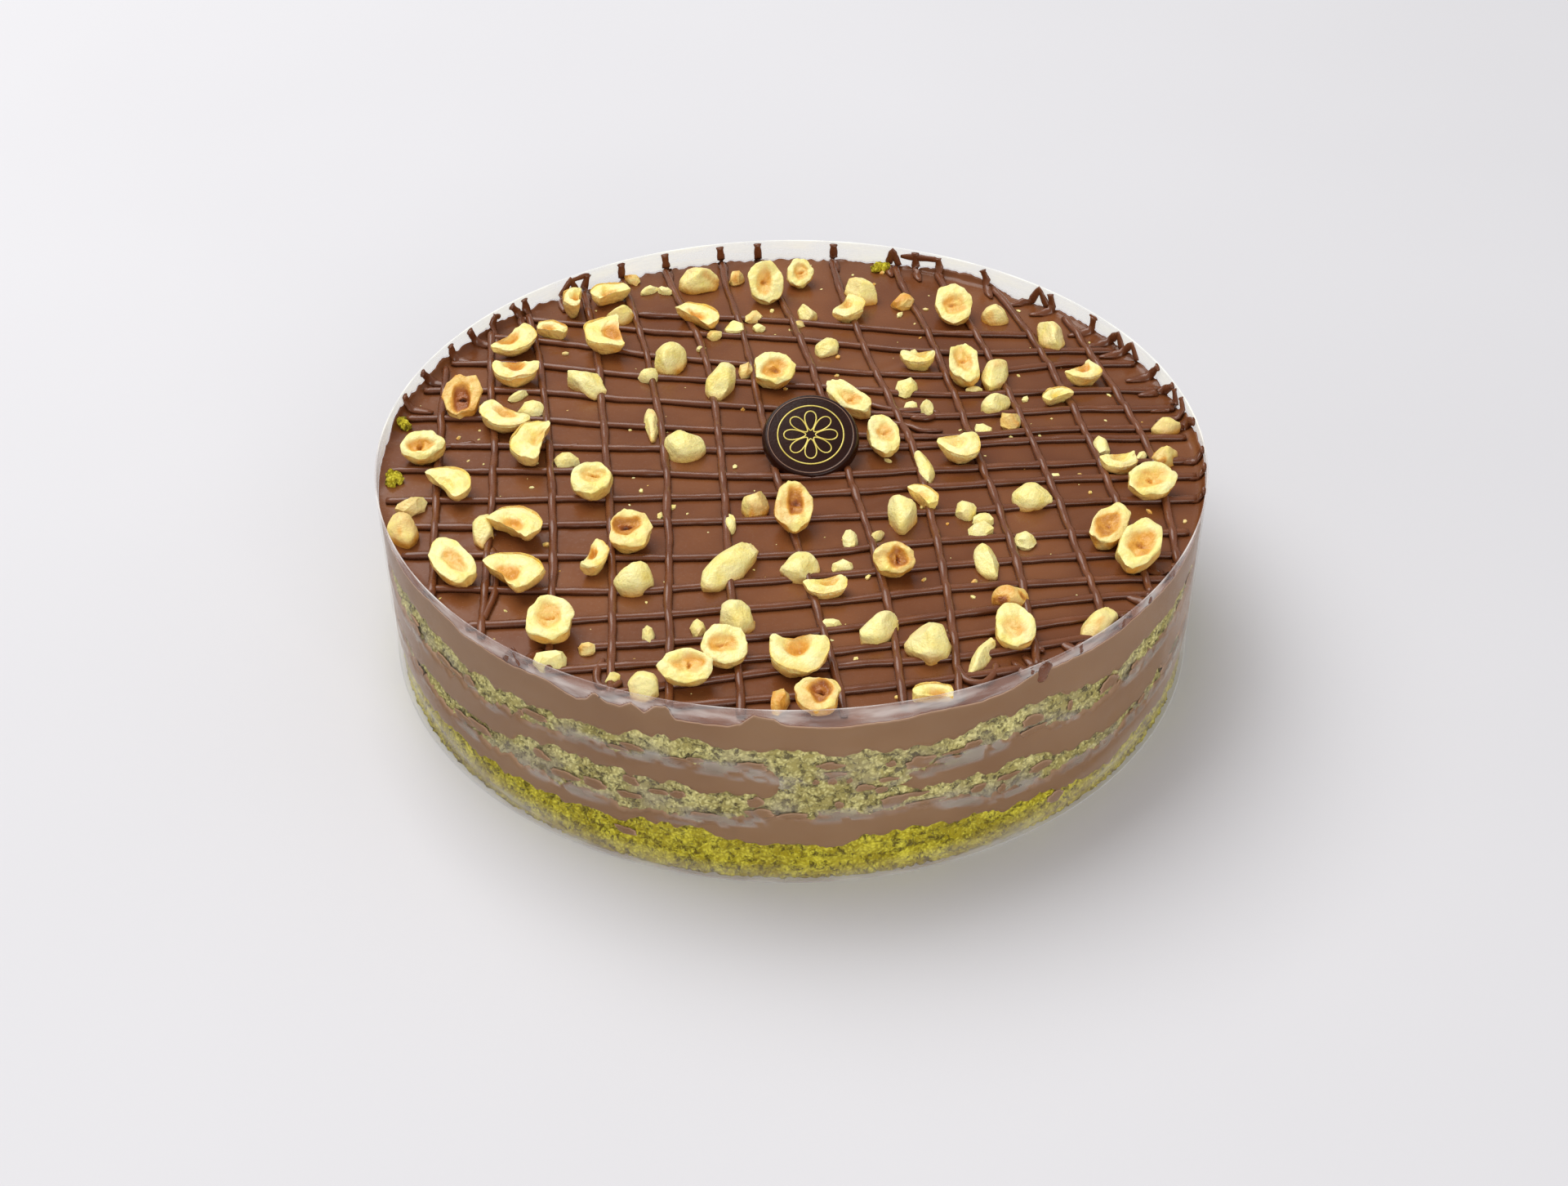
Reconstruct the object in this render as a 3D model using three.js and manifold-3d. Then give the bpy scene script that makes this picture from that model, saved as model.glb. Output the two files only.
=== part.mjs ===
// A round layered cream cake, 24 cm across, inside its clear collar. Millimetres, +Z up.
// The origin is the middle of the underside; the side that faces the viewer is -Y.
// From the bottom: sponge, cream, sponge, cream, sponge and a thick top of cream with a
// piped lattice, hazelnut pieces and a tilted chocolate medallion.
import * as THREE from 'three';
import { mergeVertices } from 'three/addons/utils/BufferGeometryUtils.js';
import Module from 'manifold-3d';

const wasm = await Module();
wasm.setup();

// Driving dimensions
const collarRadius = 120;
const collarHeight = 60;
const filmThickness = 0.5;
const clearance = 0.3;
const cakeRadius = collarRadius - filmThickness - clearance;
const stepsRound = 36;

// The cream's top is a plane that falls a little from the front to the back.
const creamLevel = 54;
const creamFall = 0.008;

// Heights of the seams between the layers at the wall, every 15 degrees of half a turn from
// the left (-X) across the front (-Y). The far half repeats them, turned by 180 degrees.
const seamStep = 15;
const seams = {
  topCream: [44, 42, 46, 43, 43.5, 46, 45, 43, 46, 41, 43, 45],
  topSponge: [36, 35, 35, 34.8, 37.4, 38.5, 36.5, 34.6, 36, 33.8, 35, 37],
  middleCream: [27, 26, 25, 25, 31.3, 30.8, 30.2, 28, 27, 20.6, 24, 28],
  middleSponge: [19, 20, 19.5, 19, 19.6, 19, 22.5, 22.8, 17.6, 16.3, 18, 20],
  lowCream: [13, 12, 12.5, 12.9, 13.7, 15.5, 12, 15, 11.8, 7.2, 10, 14],
};
// The seams swing only near the wall: from here inward they are level.
const levelRadius = 96;

// Piped lattice. A lengthwise line is given by its x at y = 120, 60, 0, -60, -120, a crosswise
// line by its ends in x and its y at x = -90, -45, 0, 45, 90.
const lengthwiseBead = { width: 2.4, height: 1.5, sunk: 0.5, steps: 5, reach: 117.4 };
const crosswiseBead = { width: 2.1, height: 1.1, sunk: 0.5, steps: 4, reach: 117.4 };
const finerSteps = 60;
const lengthwiseSpan = 120;
const lengthwiseLines = [
  [-113, -108, -103, -97.5, -92],
  [-98, -94, -87, -83, -80],
  [-92, -79.5, -70.5, -65, -62],
  [-70.5, -61, -54, -48.8, -46],
  [-57.5, -45.5, -37, -33.5, -31],
  [-43, -27.5, -20.5, -17, -13],
  [-23, -13.5, -6, 4, 13],
  [-9, 4.5, 15, 24, 28],
  [14, 23.5, 36, 41, 42],
  [34, 45.5, 54.5, 61.8, 62.5],
  [47, 61, 72, 80, 86],
  [62, 78, 89, 95, 99],
  [78, 93, 105, 105, 104],
];
const crosswiseSpan = 90;
const crosswiseLines = [
  { from: -50, to: 78, y: [84, 81.5, 77, 69.5, 68] },
  { from: -80, to: 97, y: [80, 71.5, 66, 58, 58] },
  { from: -92, to: 107, y: [68, 57, 48.5, 44, 50] },
  { from: -100, to: 108, y: [52.5, 44.5, 38.5, 33, 34.5] },
  { from: -110, to: 114, y: [36.5, 30.5, 25, 21, 24] },
  { from: -115, to: 116, y: [21, 16, 12, 9.5, 13.5] },
  { from: -103, to: 117, y: [6, 4, 3, 5, 8] },
  { from: -117, to: 117, y: [-7, -8.5, -11, -7.5, -4.5] },
  { from: -117, to: 117, y: [-22, -21.5, -20, -16, -12.5] },
  { from: -112, to: 116, y: [-35, -33.8, -32, -28.8, -24] },
  { from: -110, to: 108, y: [-48.5, -50, -49, -42.5, -39.5] },
  { from: -99, to: 106, y: [-63.5, -65, -60, -54, -50] },
  { from: -80, to: 99, y: [-80, -76.5, -71.5, -64.5, -61] },
  { from: -56, to: 92, y: [-92, -88, -84, -75.5, -68] },
  { from: -56, to: 79, y: [-102, -96.5, -93, -85, -76] },
  { from: -32, to: 76, y: [-112, -107, -98.5, -93.5, -84] },
  { from: -21, to: 60, y: [-118, -114, -109, -101.5, -92] },
];

// Strands of the lattice that run up the inside of the collar: where they stand, in degrees
// anticlockwise from +X.
const strandAngles = [
  166, 159.5, 152, 148.5, 141.5, 138, 135, 126, 124, 117.5, 110, 101, 95, 83, 73, 58, 48, 45,
  37, 31, 28.5, 26, 20, 14, 11, 6, -1,
];
const strand = { foot: 1.3, tip: 0.8, flat: 0.58, radius: 118.1, bottom: 51.5, top: 59.8 };

// Chocolate medallion: pressed into the cream at its near edge, held up behind by a dab of cream.
const medallion = {
  radius: 14.2, faceRadius: 12.5, thickness: 3, bevel: 0.4, x: 5.7, y: 1.1, tilt: 27.5, sunk: 1.2,
};
const medallionSteps = 18;
const dab = { x: 5.7, y: 8, length: 11, width: 9, height: 13, sunk: 0.6 };

// Hazelnut pieces: kind, x, y, length, width, height, turn of the length from +X, lean of the
// top towards the viewer (degrees).
const hazelnuts = [
  ['dome', -29.8, 100.3, 13.5, 9, 7.3, 0, 0],
  ['half', -8, 97, 15.5, 11.7, 7, 90, 38],
  ['half', 3.4, 105.3, 10.5, 9, 6, 90, 30],
  ['wedge', -28.5, 77, 15.5, 9, 5.5, -42, 0],
  ['wedge', -58.7, 91.5, 12.5, 8.5, 5.5, 32, 0],
  ['wedge', -85, 60, 17, 9.5, 6, 235, 0],
  ['wedge', -84.3, 41.5, 14.5, 9.5, 6.5, 180, 0],
  ['half', -99, 29, 15, 12.5, 7, 90, 24],
  ['wedge', -86, 15.5, 17, 9.5, 6, 145, 0],
  ['wedge', -76, 1.5, 20, 10.5, 7, 85, 0],
  ['half', -107, 1.5, 13, 10.5, 8, 0, 20],
  ['dome', -62.2, 38.5, 17, 8.5, 6.5, -50, 0],
  ['wedge', -58, 62.5, 18, 12, 7, 102, 0],
  ['dome', -37, 50.8, 14, 9.5, 8, 75, 0],
  ['dome', -21, 38.5, 18, 9, 7, 78, 0],
  ['half', -5, 42.5, 13.5, 13, 7, 90, 15],
  ['dome', -31, 3.5, 12.5, 12.5, 7, 0, 0],
  ['dome', 23.5, 93, 13, 9, 7, -50, 0],
  ['wedge', 19.8, 80.8, 14, 8.5, 5, 245, 0],
  ['half', 52.3, 82, 15.5, 12, 7, 92, 22],
  ['dome', 82.5, 65, 16, 8, 6.5, 102, 0],
  ['half', 53, 44, 15, 9.5, 8, 96, 18],
  ['dome', 62.8, 40.5, 16, 8, 7, 72, 0],
  ['half', 17.3, 25.5, 18.5, 8.5, 6.5, -48, 10],
  ['half', 27, 5.5, 15.5, 9.5, 7, 97, 15],
  ['wedge', 49.3, -1.8, 12.5, 11, 7, 195, 0],
  ['half', 102.2, -19, 14.5, 13, 7, 30, 12],
  ['half', 88, -40.5, 16.5, 10, 7, 60, 10],
  ['half', 94.3, -51.5, 19, 11.5, 8, 62, 12],
  ['dome', 68, -24, 11, 10, 5.5, 20, 0],
  ['dome', 31, -31.5, 17, 8.5, 7, 86, 0],
  ['half', 0.3, -31.5, 17, 11.2, 8, 92, 18],
  ['half', 27.5, -53.2, 11.5, 9.5, 8, 0, 30],
  ['dome', 2.5, -56.5, 11, 10, 5.5, 60, 0],
  ['dome', 53.2, -54, 14, 7, 5, 100, 0],
  ['half', 57.6, -84.5, 15, 10.5, 6, 88, 12],
  ['dome', 22.3, -83.8, 14, 8, 6, 50, 0],
  ['dome', 34.6, -90.3, 14, 12.5, 8, 90, 0],
  ['wedge', 1.6, -97, 15.5, 12.5, 7.5, 180, 12],
  ['half', 5.7, -112.6, 11, 11.8, 7, 90, 12],
  ['half', -57, -17.5, 12.5, 12, 7.5, 90, 15],
  ['wedge', -96.3, -17.5, 16, 9.5, 6, -50, 0],
  ['dome', -108, -38.5, 13, 8.5, 7, 105, 0],
  ['wedge', -76, -37.5, 16, 11, 6, -35, 0],
  ['half', -44.5, -41.5, 13.5, 12, 7.5, 90, 15],
  ['half', -91.8, -56.5, 19, 10.5, 7, -58, 8],
  ['wedge', -74, -60, 17, 12.5, 6.5, -50, 0],
  ['dome', -43, -61.5, 11.5, 11, 7.5, 90, 0],
  ['half', -63.7, -82, 15, 13, 7.5, 90, 12],
  ['dome', -17, -56.7, 23, 9.5, 6.5, 52, 0],
  ['half', -18, -92.2, 12.5, 12.3, 7, 90, 15],
  ['half', -27.6, -99.8, 14.5, 10.5, 7, 0, 20],
];

// Smaller pieces, fused to the cream that they are pressed into.
const smallPieces = [
  ['wedge', -70, 84, 11.5, 6, 8, 90, 0],
  ['dome', -54.5, 79.5, 9, 7.5, 6, 20, 0],
  ['wedge', -75, 69, 11, 6, 6, -25, 0],
  ['dome', -41.5, 16, 18, 4.5, 4, 95, 0],
  ['dome', 66, 78.5, 9, 8, 6, 0, 0],
  ['dome', 5.5, 81, 9, 6, 5, 110, 0],
  ['dome', 11.6, 60, 10.5, 7.5, 4.5, 75, 0],
  ['wedge', 39.5, 49, 11, 6.5, 6, 180, 0],
  ['wedge', 90.5, 39.5, 11, 8, 6, 220, 0],
  ['wedge', 80.3, 29, 10, 6, 5, 25, 0],
  ['dome', 61.5, 25.5, 11, 7, 6, 50, 0],
  ['dome', 111, 13, 9.5, 7.5, 5.5, 30, 0],
  ['dome', 108.5, -3.5, 11, 7, 6, 60, 0],
  ['dome', 38.5, -7, 17, 5, 4, 100, 0],
  ['wedge', 95, -8.5, 11, 7, 5.5, 190, 0],
  ['wedge', 37.8, -24.2, 11, 5.5, 5.5, -55, 0],
  ['dome', -10.3, -27, 10, 8, 6.5, 90, 0],
  ['wedge', 9.3, -67, 12, 7, 5.5, 195, 0],
  ['dome', 58, -70.5, 10, 8, 6, 0, 0],
  ['dome', 48.7, -94, 17, 4.5, 4, 65, 0],
  ['wedge', 35, -110, 10.5, 6, 5, 0, 0],
  ['dome', 80, -81.3, 14, 6.5, 5, 50, 0],
  ['dome', -86, -37.7, 15, 6, 6, 97, 0],
  ['wedge', -53, -53, 12.5, 6, 6, 255, 0],
  ['dome', -15, -78.5, 12, 9, 7, -60, 0],
  ['dome', -38, -106.5, 8.5, 8, 6, 90, 0],
];

const hazelnutSides = 7;
const smallSides = 5;

// How far a leaning piece's underside is flattened, how high a piece lies over the cream, and
// how deep a fused piece goes into it.
const footFlat = 0.8;
const restGap = 0.35;
const fusedDepth = 0.6;

const colours = {
  film: 0xf2f0ee,
  cream: 0x6e4630,
  sideCream: 0x80614a,
  sponge: 0xa8a860,
  hazelnut: 0xf3dc8e,
  medallion: 0x36201a,
};

const degrees = THREE.MathUtils.degToRad;

const creamTopAt = (y) => creamLevel - creamFall * y;

// Moves every vertex of a geometry with the given function.
function reshape(geometry, move) {
  const point = new THREE.Vector3();
  const position = geometry.attributes.position;
  for (let i = 0; i < position.count; i++) {
    point.fromBufferAttribute(position, i);
    move(point);
    position.setXYZ(i, point.x, point.y, point.z);
  }
  return geometry;
}

// A closed body turned about +Z from [radius, height] pairs that run from the bottom up.
function turned(profile, steps) {
  const points = profile.map(([radius, height]) => new THREE.Vector2(radius, height));
  return new THREE.LatheGeometry(points, steps).rotateX(Math.PI / 2);
}

// Shared vertices merged, so that the body is closed.
function welded(geometry) {
  const bare = geometry.clone();
  bare.deleteAttribute('normal');
  bare.deleteAttribute('uv');
  const merged = mergeVertices(bare, 1e-4);
  const corners = merged.index.array;
  const kept = [];
  for (let i = 0; i < corners.length; i += 3) {
    const [a, b, c] = [corners[i], corners[i + 1], corners[i + 2]];
    if (a !== b && b !== c && c !== a) {
      kept.push(a, b, c);
    }
  }
  merged.setIndex(kept);
  return merged;
}

function solidFrom(geometry) {
  const merged = welded(geometry);
  return new wasm.Manifold(new wasm.Mesh({
    numProp: 3,
    vertProperties: new Float32Array(merged.attributes.position.array),
    triVerts: new Uint32Array(merged.index.array),
  }));
}

function geometryFrom(solid) {
  const mesh = solid.getMesh();
  const geometry = new THREE.BufferGeometry();
  geometry.setAttribute('position', new THREE.BufferAttribute(mesh.vertProperties, 3));
  geometry.setIndex(new THREE.BufferAttribute(mesh.triVerts, 1));
  return geometry;
}

// A smooth value between evenly spaced ones, which repeat after the last.
function cyclic(values, place) {
  const count = values.length;
  const whole = Math.floor(place);
  const t = place - whole;
  const pick = (i) => values[(((whole + i) % count) + count) % count];
  const ease = t * t * (3 - 2 * t);
  return pick(0) * (1 - ease) + pick(1) * ease;
}

// Height of a seam at a point of the cake: its own swing at the wall, its mean further in.
function seamHeight(values, x, y) {
  const mean = values.reduce((sum, value) => sum + value, 0) / values.length;
  const fromLeft = THREE.MathUtils.radToDeg(Math.atan2(y, x)) + 180;
  const wall = cyclic(values, fromLeft / seamStep);
  const share = THREE.MathUtils.smoothstep(Math.hypot(x, y), levelRadius - 1, cakeRadius - 1);
  return mean + (wall - mean) * share;
}

// Everything below a seam, moved up by the given lift and reaching past the cake's wall.
function underSeam(values, lift) {
  const low = -1;
  const reach = cakeRadius + 5;
  const profile = [[0, low], [reach, low], [reach, 0], [cakeRadius, 0], [levelRadius, 0], [0, 0]];
  return solidFrom(reshape(turned(profile, stepsRound), (point) => {
    if (point.z > low / 2) {
      point.z = seamHeight(values, point.x, point.y) + lift;
    }
  }));
}

// The bare cake: a round wall under the plane of the cream's top.
function bareCake() {
  const span = 3 * cakeRadius;
  const wall = turned([[0, 0], [cakeRadius, 0], [cakeRadius, collarHeight], [0, collarHeight]], stepsRound);
  const underTop = reshape(new THREE.BoxGeometry(span, span, 2 * collarHeight), (point) => {
    if (point.z > 0) {
      point.z = creamTopAt(point.y);
    }
  });
  return solidFrom(wall).intersect(solidFrom(underTop));
}

// The bare cake cut into its layers at the seams, from the bottom up.
function cutLayers(seamList) {
  const layers = [];
  let rest = bareCake();
  seamList.forEach((values) => {
    layers.push(rest.intersect(underSeam(values, -clearance / 2)));
    rest = rest.subtract(underSeam(values, clearance / 2));
  });
  return [...layers, rest];
}

// The smooth curve through evenly spaced values, read at a share of its span.
function waved(values, share) {
  const curve = new THREE.SplineCurve(values.map((value, i) => new THREE.Vector2(i, value)));
  return curve.getPoint(THREE.MathUtils.clamp(share, 0, 1)).y;
}

// A bead of cream with a ridged section along a line in plan, laid on the cream's top.
function bead(from, to, pointAt, size) {
  const points = [];
  for (let i = 0; i <= finerSteps; i++) {
    const point = pointAt(THREE.MathUtils.lerp(from, to, i / finerSteps));
    if (point.length() <= size.reach) {
      points.push(point);
    }
  }
  const section = new THREE.Shape();
  section.moveTo(size.sunk, -size.width / 2);
  section.lineTo(size.sunk, size.width / 2);
  section.lineTo(-size.height, 0);
  section.closePath();
  const extrudePath = new THREE.CatmullRomCurve3(points);
  const geometry = new THREE.ExtrudeGeometry(section, { steps: size.steps, extrudePath });
  return reshape(geometry, (point) => {
    point.z += creamTopAt(point.y);
  });
}

function latticeBeads() {
  const crosswise = crosswiseLines.map(({ from, to, y }) => {
    const pointAt = (x) => new THREE.Vector3(x, waved(y, (x + crosswiseSpan) / (2 * crosswiseSpan)), 0);
    return bead(from, to, pointAt, crosswiseBead);
  });
  const lengthwise = lengthwiseLines.map((x) => {
    const pointAt = (y) => new THREE.Vector3(waved(x, (lengthwiseSpan - y) / (2 * lengthwiseSpan)), y, 0);
    return bead(-cakeRadius, cakeRadius, pointAt, lengthwiseBead);
  });
  return [...crosswise, ...lengthwise];
}

// A strand of cream that runs up the inside of the collar from the cream to the rim.
function climbingStrand(angle) {
  const { foot, tip, flat, radius, bottom, top } = strand;
  return new THREE.CylinderGeometry(tip, foot, top - bottom, 3)
    .rotateX(Math.PI / 2)
    .scale(flat, 1, 1)
    .translate(radius, 0, (top + bottom) / 2)
    .rotateZ(degrees(angle));
}

// Puts a piece made flat about its own middle into the medallion's place.
function tilted(geometry) {
  const { radius, x, y, tilt, sunk } = medallion;
  const lift = radius * Math.sin(degrees(tilt)) - sunk;
  return geometry.rotateX(degrees(tilt)).translate(x, y, creamTopAt(y) + lift);
}

function medallionDisc() {
  const { radius, faceRadius, thickness, bevel } = medallion;
  const profile = [
    [0, 0], [radius - bevel, 0], [radius, bevel], [faceRadius + bevel, thickness - bevel],
    [faceRadius, thickness], [0, thickness],
  ];
  return tilted(turned(profile, medallionSteps));
}

// The space of the medallion and above it, taken out of the cream and its dab.
function medallionPocket() {
  const radius = medallion.radius + clearance;
  const high = 2 * medallion.radius;
  const profile = [[0, -clearance], [radius, -clearance], [radius, high], [0, high]];
  return tilted(turned(profile, medallionSteps));
}

function creamDab() {
  const { x, y, length, width, height, sunk } = dab;
  const ball = new THREE.SphereGeometry(1, 9, 5).rotateX(Math.PI / 2).scale(length, width, height);
  return reshape(ball, (point) => {
    point.z = Math.max(point.z, -sunk) + creamTopAt(y);
    point.x += x;
    point.y += y;
  });
}

// Forms of the hazelnut pieces: length and width from -1 to 1, height from 0 to 1.
const forms = {
  // Half a nut, its flat side up with the hollow of the kernel.
  half: (sides) => turned([[0, 0], [0.68, 0.2], [1, 0.78], [0.84, 1], [0.42, 0.92], [0, 0.6]], sides),
  // Half a nut, its round side up.
  dome: (sides) => turned([[0, 0], [0.95, 0], [1, 0.3], [0.66, 0.84], [0, 1]], sides),
  // A slice with one round and one hollow side.
  wedge: (sides) => reshape(forms.dome(sides), (point) => {
    const hollow = 0.35 * (1 - point.x * point.x);
    const share = point.y < 0 ? 0.55 : 1 - hollow;
    point.y = point.y * share + hollow - 0.2;
  }),
};

// A hazelnut piece on the cream, its underside raised or sunk by the given rest.
function hazelnutPiece([kind, x, y, length, width, height, turn, lean], sides, rest) {
  const geometry = forms[kind](sides)
    .scale(length / 2, width / 2, height)
    .rotateZ(degrees(turn))
    .rotateX(degrees(lean));
  geometry.computeBoundingBox();
  const foot = geometry.boundingBox.min.z + (lean > 0 ? footFlat : 0);
  return reshape(geometry, (point) => {
    point.z = Math.max(point.z, foot) - foot + creamTopAt(y) + rest;
    point.x += x;
    point.y += y;
  });
}

// Room for a hazelnut piece among the beads: an upright oval hole down to just over the cream.
function hazelnutRoom([, x, y, length, width, , turn]) {
  const high = 12;
  const floor = restGap / 5;
  return turned([[0, floor], [1, floor], [1, high], [0, high]], hazelnutSides)
    .scale(length / 2 + 2 * clearance, width / 2 + 2 * clearance, 1)
    .rotateZ(degrees(turn))
    .translate(x, y, creamTopAt(y) + creamFall * length / 2);
}

// The top layer of cream with all that is piped on it or pressed into it.
function dressedCream(bare) {
  const added = [
    ...latticeBeads(),
    ...strandAngles.map(climbingStrand),
    creamDab(),
    ...smallPieces.map((row) => hazelnutPiece(row, smallSides, -fusedDepth)),
  ];
  const removed = [medallionPocket(), ...hazelnuts.map(hazelnutRoom)];
  let cream = bare;
  added.forEach((geometry) => {
    cream = cream.add(solidFrom(geometry));
  });
  removed.forEach((geometry) => {
    cream = cream.subtract(solidFrom(geometry));
  });
  return cream;
}

function collar() {
  const inner = collarRadius - filmThickness;
  const profile = [
    [inner, 0], [collarRadius, 0], [collarRadius, collarHeight], [inner, collarHeight], [inner, 0],
  ];
  return turned(profile, stepsRound);
}

function piece(name, geometry, color, roughness, extra = {}) {
  const material = new THREE.MeshStandardMaterial({ color, roughness, metalness: 0, ...extra });
  const mesh = new THREE.Mesh(geometry, material);
  mesh.name = name;
  return mesh;
}

const { lowCream, middleSponge, middleCream, topSponge, topCream } = seams;
const layers = cutLayers([lowCream, middleSponge, middleCream, topSponge, topCream]);
const [spongeBottom, creamLow, spongeMiddle, creamMiddle, spongeTop, creamTop] = layers;
const clearFilm = { transparent: true, opacity: 0.2 };

const cake = new THREE.Group();
cake.add(
  piece('sponge_bottom', geometryFrom(spongeBottom), colours.sponge, 0.9),
  piece('cream_low', geometryFrom(creamLow), colours.sideCream, 0.5),
  piece('sponge_middle', geometryFrom(spongeMiddle), colours.sponge, 0.9),
  piece('cream_middle', geometryFrom(creamMiddle), colours.sideCream, 0.5),
  piece('sponge_top', geometryFrom(spongeTop), colours.sponge, 0.9),
  piece('cream_top', geometryFrom(dressedCream(creamTop)), colours.cream, 0.4),
  piece('medallion', medallionDisc(), colours.medallion, 0.25),
  piece('collar', collar(), colours.film, 0.1, clearFilm),
);
hazelnuts.forEach((row, i) => {
  const name = `hazelnut_${String(i + 1).padStart(2, '0')}`;
  cake.add(piece(name, hazelnutPiece(row, hazelnutSides, restGap), colours.hazelnut, 0.6));
});

export default cake;
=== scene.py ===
"""A round layered cream cake in its clear collar: three sponges, three creams, a piped lattice,
split hazelnuts and a tilted chocolate medallion. Lengths are millimetres until a piece is done."""
import math
import random

import bmesh
import bpy
from mathutils import Euler, Matrix, Vector, noise


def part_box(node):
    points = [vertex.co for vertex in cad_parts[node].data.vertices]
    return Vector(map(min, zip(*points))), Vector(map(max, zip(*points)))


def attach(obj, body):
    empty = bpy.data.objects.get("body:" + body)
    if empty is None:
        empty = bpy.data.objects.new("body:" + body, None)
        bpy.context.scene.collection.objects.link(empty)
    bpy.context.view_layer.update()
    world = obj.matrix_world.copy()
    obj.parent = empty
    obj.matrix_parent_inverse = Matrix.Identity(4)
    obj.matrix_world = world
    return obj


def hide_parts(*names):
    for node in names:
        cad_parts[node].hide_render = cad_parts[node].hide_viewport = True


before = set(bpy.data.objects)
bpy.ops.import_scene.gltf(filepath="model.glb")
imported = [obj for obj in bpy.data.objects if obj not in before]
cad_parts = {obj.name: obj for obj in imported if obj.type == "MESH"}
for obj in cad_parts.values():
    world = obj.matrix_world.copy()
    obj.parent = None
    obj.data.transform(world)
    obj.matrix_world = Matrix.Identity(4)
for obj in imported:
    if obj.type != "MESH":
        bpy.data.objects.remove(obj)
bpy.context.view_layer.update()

# The noise that bends the nuts starts from the clock unless it is given a seed
NOISE_SEED = 4
noise.seed_set(NOISE_SEED)

MM = 0.001
FULL_TURN = 2 * math.pi
UP = Vector((0, 0, 1))

# Sizes taken from the frame
_, collar_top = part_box("collar")
COLLAR_RADIUS = collar_top[0] / MM
COLLAR_HEIGHT = collar_top[2] / MM
FILM_THICKNESS = 0.5
FILM_INSIDE = COLLAR_RADIUS - FILM_THICKNESS
# Cream that touches the film, and sponge that stands a little behind it
PRESSED_RADIUS = FILM_INSIDE - 0.1
SPONGE_RADIUS = FILM_INSIDE - 0.7

# The cream's top falls a little from the front to the back
CREAM_LEVEL = 54.0
CREAM_FALL = 0.008

# Seams between the layers at the wall, every 15 degrees of half a turn from the left
SEAM_STEP = 15
SEAMS = {
    "top_cream": (44, 42, 46, 43, 43.5, 46, 45, 43, 46, 41, 43, 45),
    "top_sponge": (36, 35, 35, 34.8, 37.4, 38.5, 36.5, 34.6, 36, 33.8, 35, 37),
    "middle_cream": (27, 26, 25, 25, 31.3, 30.8, 30.2, 28, 27, 20.6, 24, 28),
    "middle_sponge": (19, 20, 19.5, 19, 19.6, 19, 22.5, 22.8, 17.6, 16.3, 18, 20),
    "low_cream": (13, 12, 12.5, 12.9, 13.7, 15.5, 12, 15, 11.8, 7.2, 10, 14),
}
LEVEL_RADIUS = 96

# In front the top sponge reaches down to the middle one: the azimuths where the reach starts, is
# full, wanes and ends, how far down it goes and how far the cream behind it draws back
BRIDGE = (-93, -90.5, -80, -74)
BRIDGE_DEPTH = 4.6
BRIDGE_HOLLOW = 2.8
# Islands of cream left between the two: azimuth, height, half width and half height
CREAM_ISLANDS = ((-87.3, 34.8, 1.0, 0.8), (-85.2, 34.9, 1.1, 1.1), (-83.2, 34.6, 0.8, 0.8),
                 (-81.2, 31.8, 2.6, 1.1), (-78.2, 33.6, 2.6, 0.8), (-79.0, 30.4, 1.6, 1.2))

# Height of the line where the top cream leaves the film: azimuth from +X, height
CONTACT_LINE = (
    (-180, 54.8), (-170, 54.2), (-160, 55.4), (-152, 54.6), (-144, 56.2), (-138.7, 55.5), (-137, 54.3),
    (-133, 54.7), (-128, 54.2), (-124.7, 54.7), (-122, 54.9), (-120, 53.8), (-117.6, 52.3),
    (-116.2, 53.4), (-115, 56.4), (-113.4, 54.2), (-111.5, 54.4), (-110, 56.4), (-108.4, 53.9),
    (-107, 56.8), (-105.4, 57.6), (-104.6, 53.8), (-101.7, 53.5), (-98, 53.8), (-96.4, 54.9),
    (-94.9, 57.8), (-92.4, 56.6), (-91, 54.6), (-84.5, 53.6), (-77.6, 53.9), (-72.3, 54.5),
    (-66.7, 53.7), (-61.4, 55.0), (-58.8, 57.2), (-56.2, 56.4), (-51.4, 55.6), (-45, 55.2),
    (-38, 55.8), (-30, 54.9), (-22, 55.2), (-17, 56.3), (-12, 57.4), (-4, 57.8), (3, 57.0), (6, 56.0),
    (9, 57.0), (12, 54.2), (16, 53.7), (24, 54.9), (34, 54.6), (44, 54.6), (49, 52.4), (52, 52.2),
    (56, 54.3), (60, 56.3), (64, 55.6), (72, 53.6), (76, 53.0), (90, 53.0), (120, 53.0), (129, 53.0),
    (132, 54.3), (140, 55.7), (149, 55.0), (155, 56.9), (158, 55.4), (164.5, 56.4), (171.4, 57.3),
    (175.5, 54.8), (180, 54.8),
)

# Lattice: x of each lengthwise line at y = 120, 60, 0, -60, -120
LENGTHWISE_SPAN = 120
LENGTHWISE_LINES = (
    (-113, -108, -103, -97.5, -92), (-98, -94, -87, -83, -80), (-92, -79.5, -70.5, -65, -62),
    (-70.5, -61, -54, -48.8, -46), (-57.5, -45.5, -37, -33.5, -31), (-43, -27.5, -20.5, -17, -13),
    (-23, -13.5, -6, 4, 13), (-9, 4.5, 15, 24, 28), (14, 23.5, 36, 41, 42),
    (34, 45.5, 54.5, 61.8, 62.5), (47, 61, 72, 80, 86), (62, 78, 89, 95, 99), (78, 93, 105, 105, 104),
)
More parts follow.
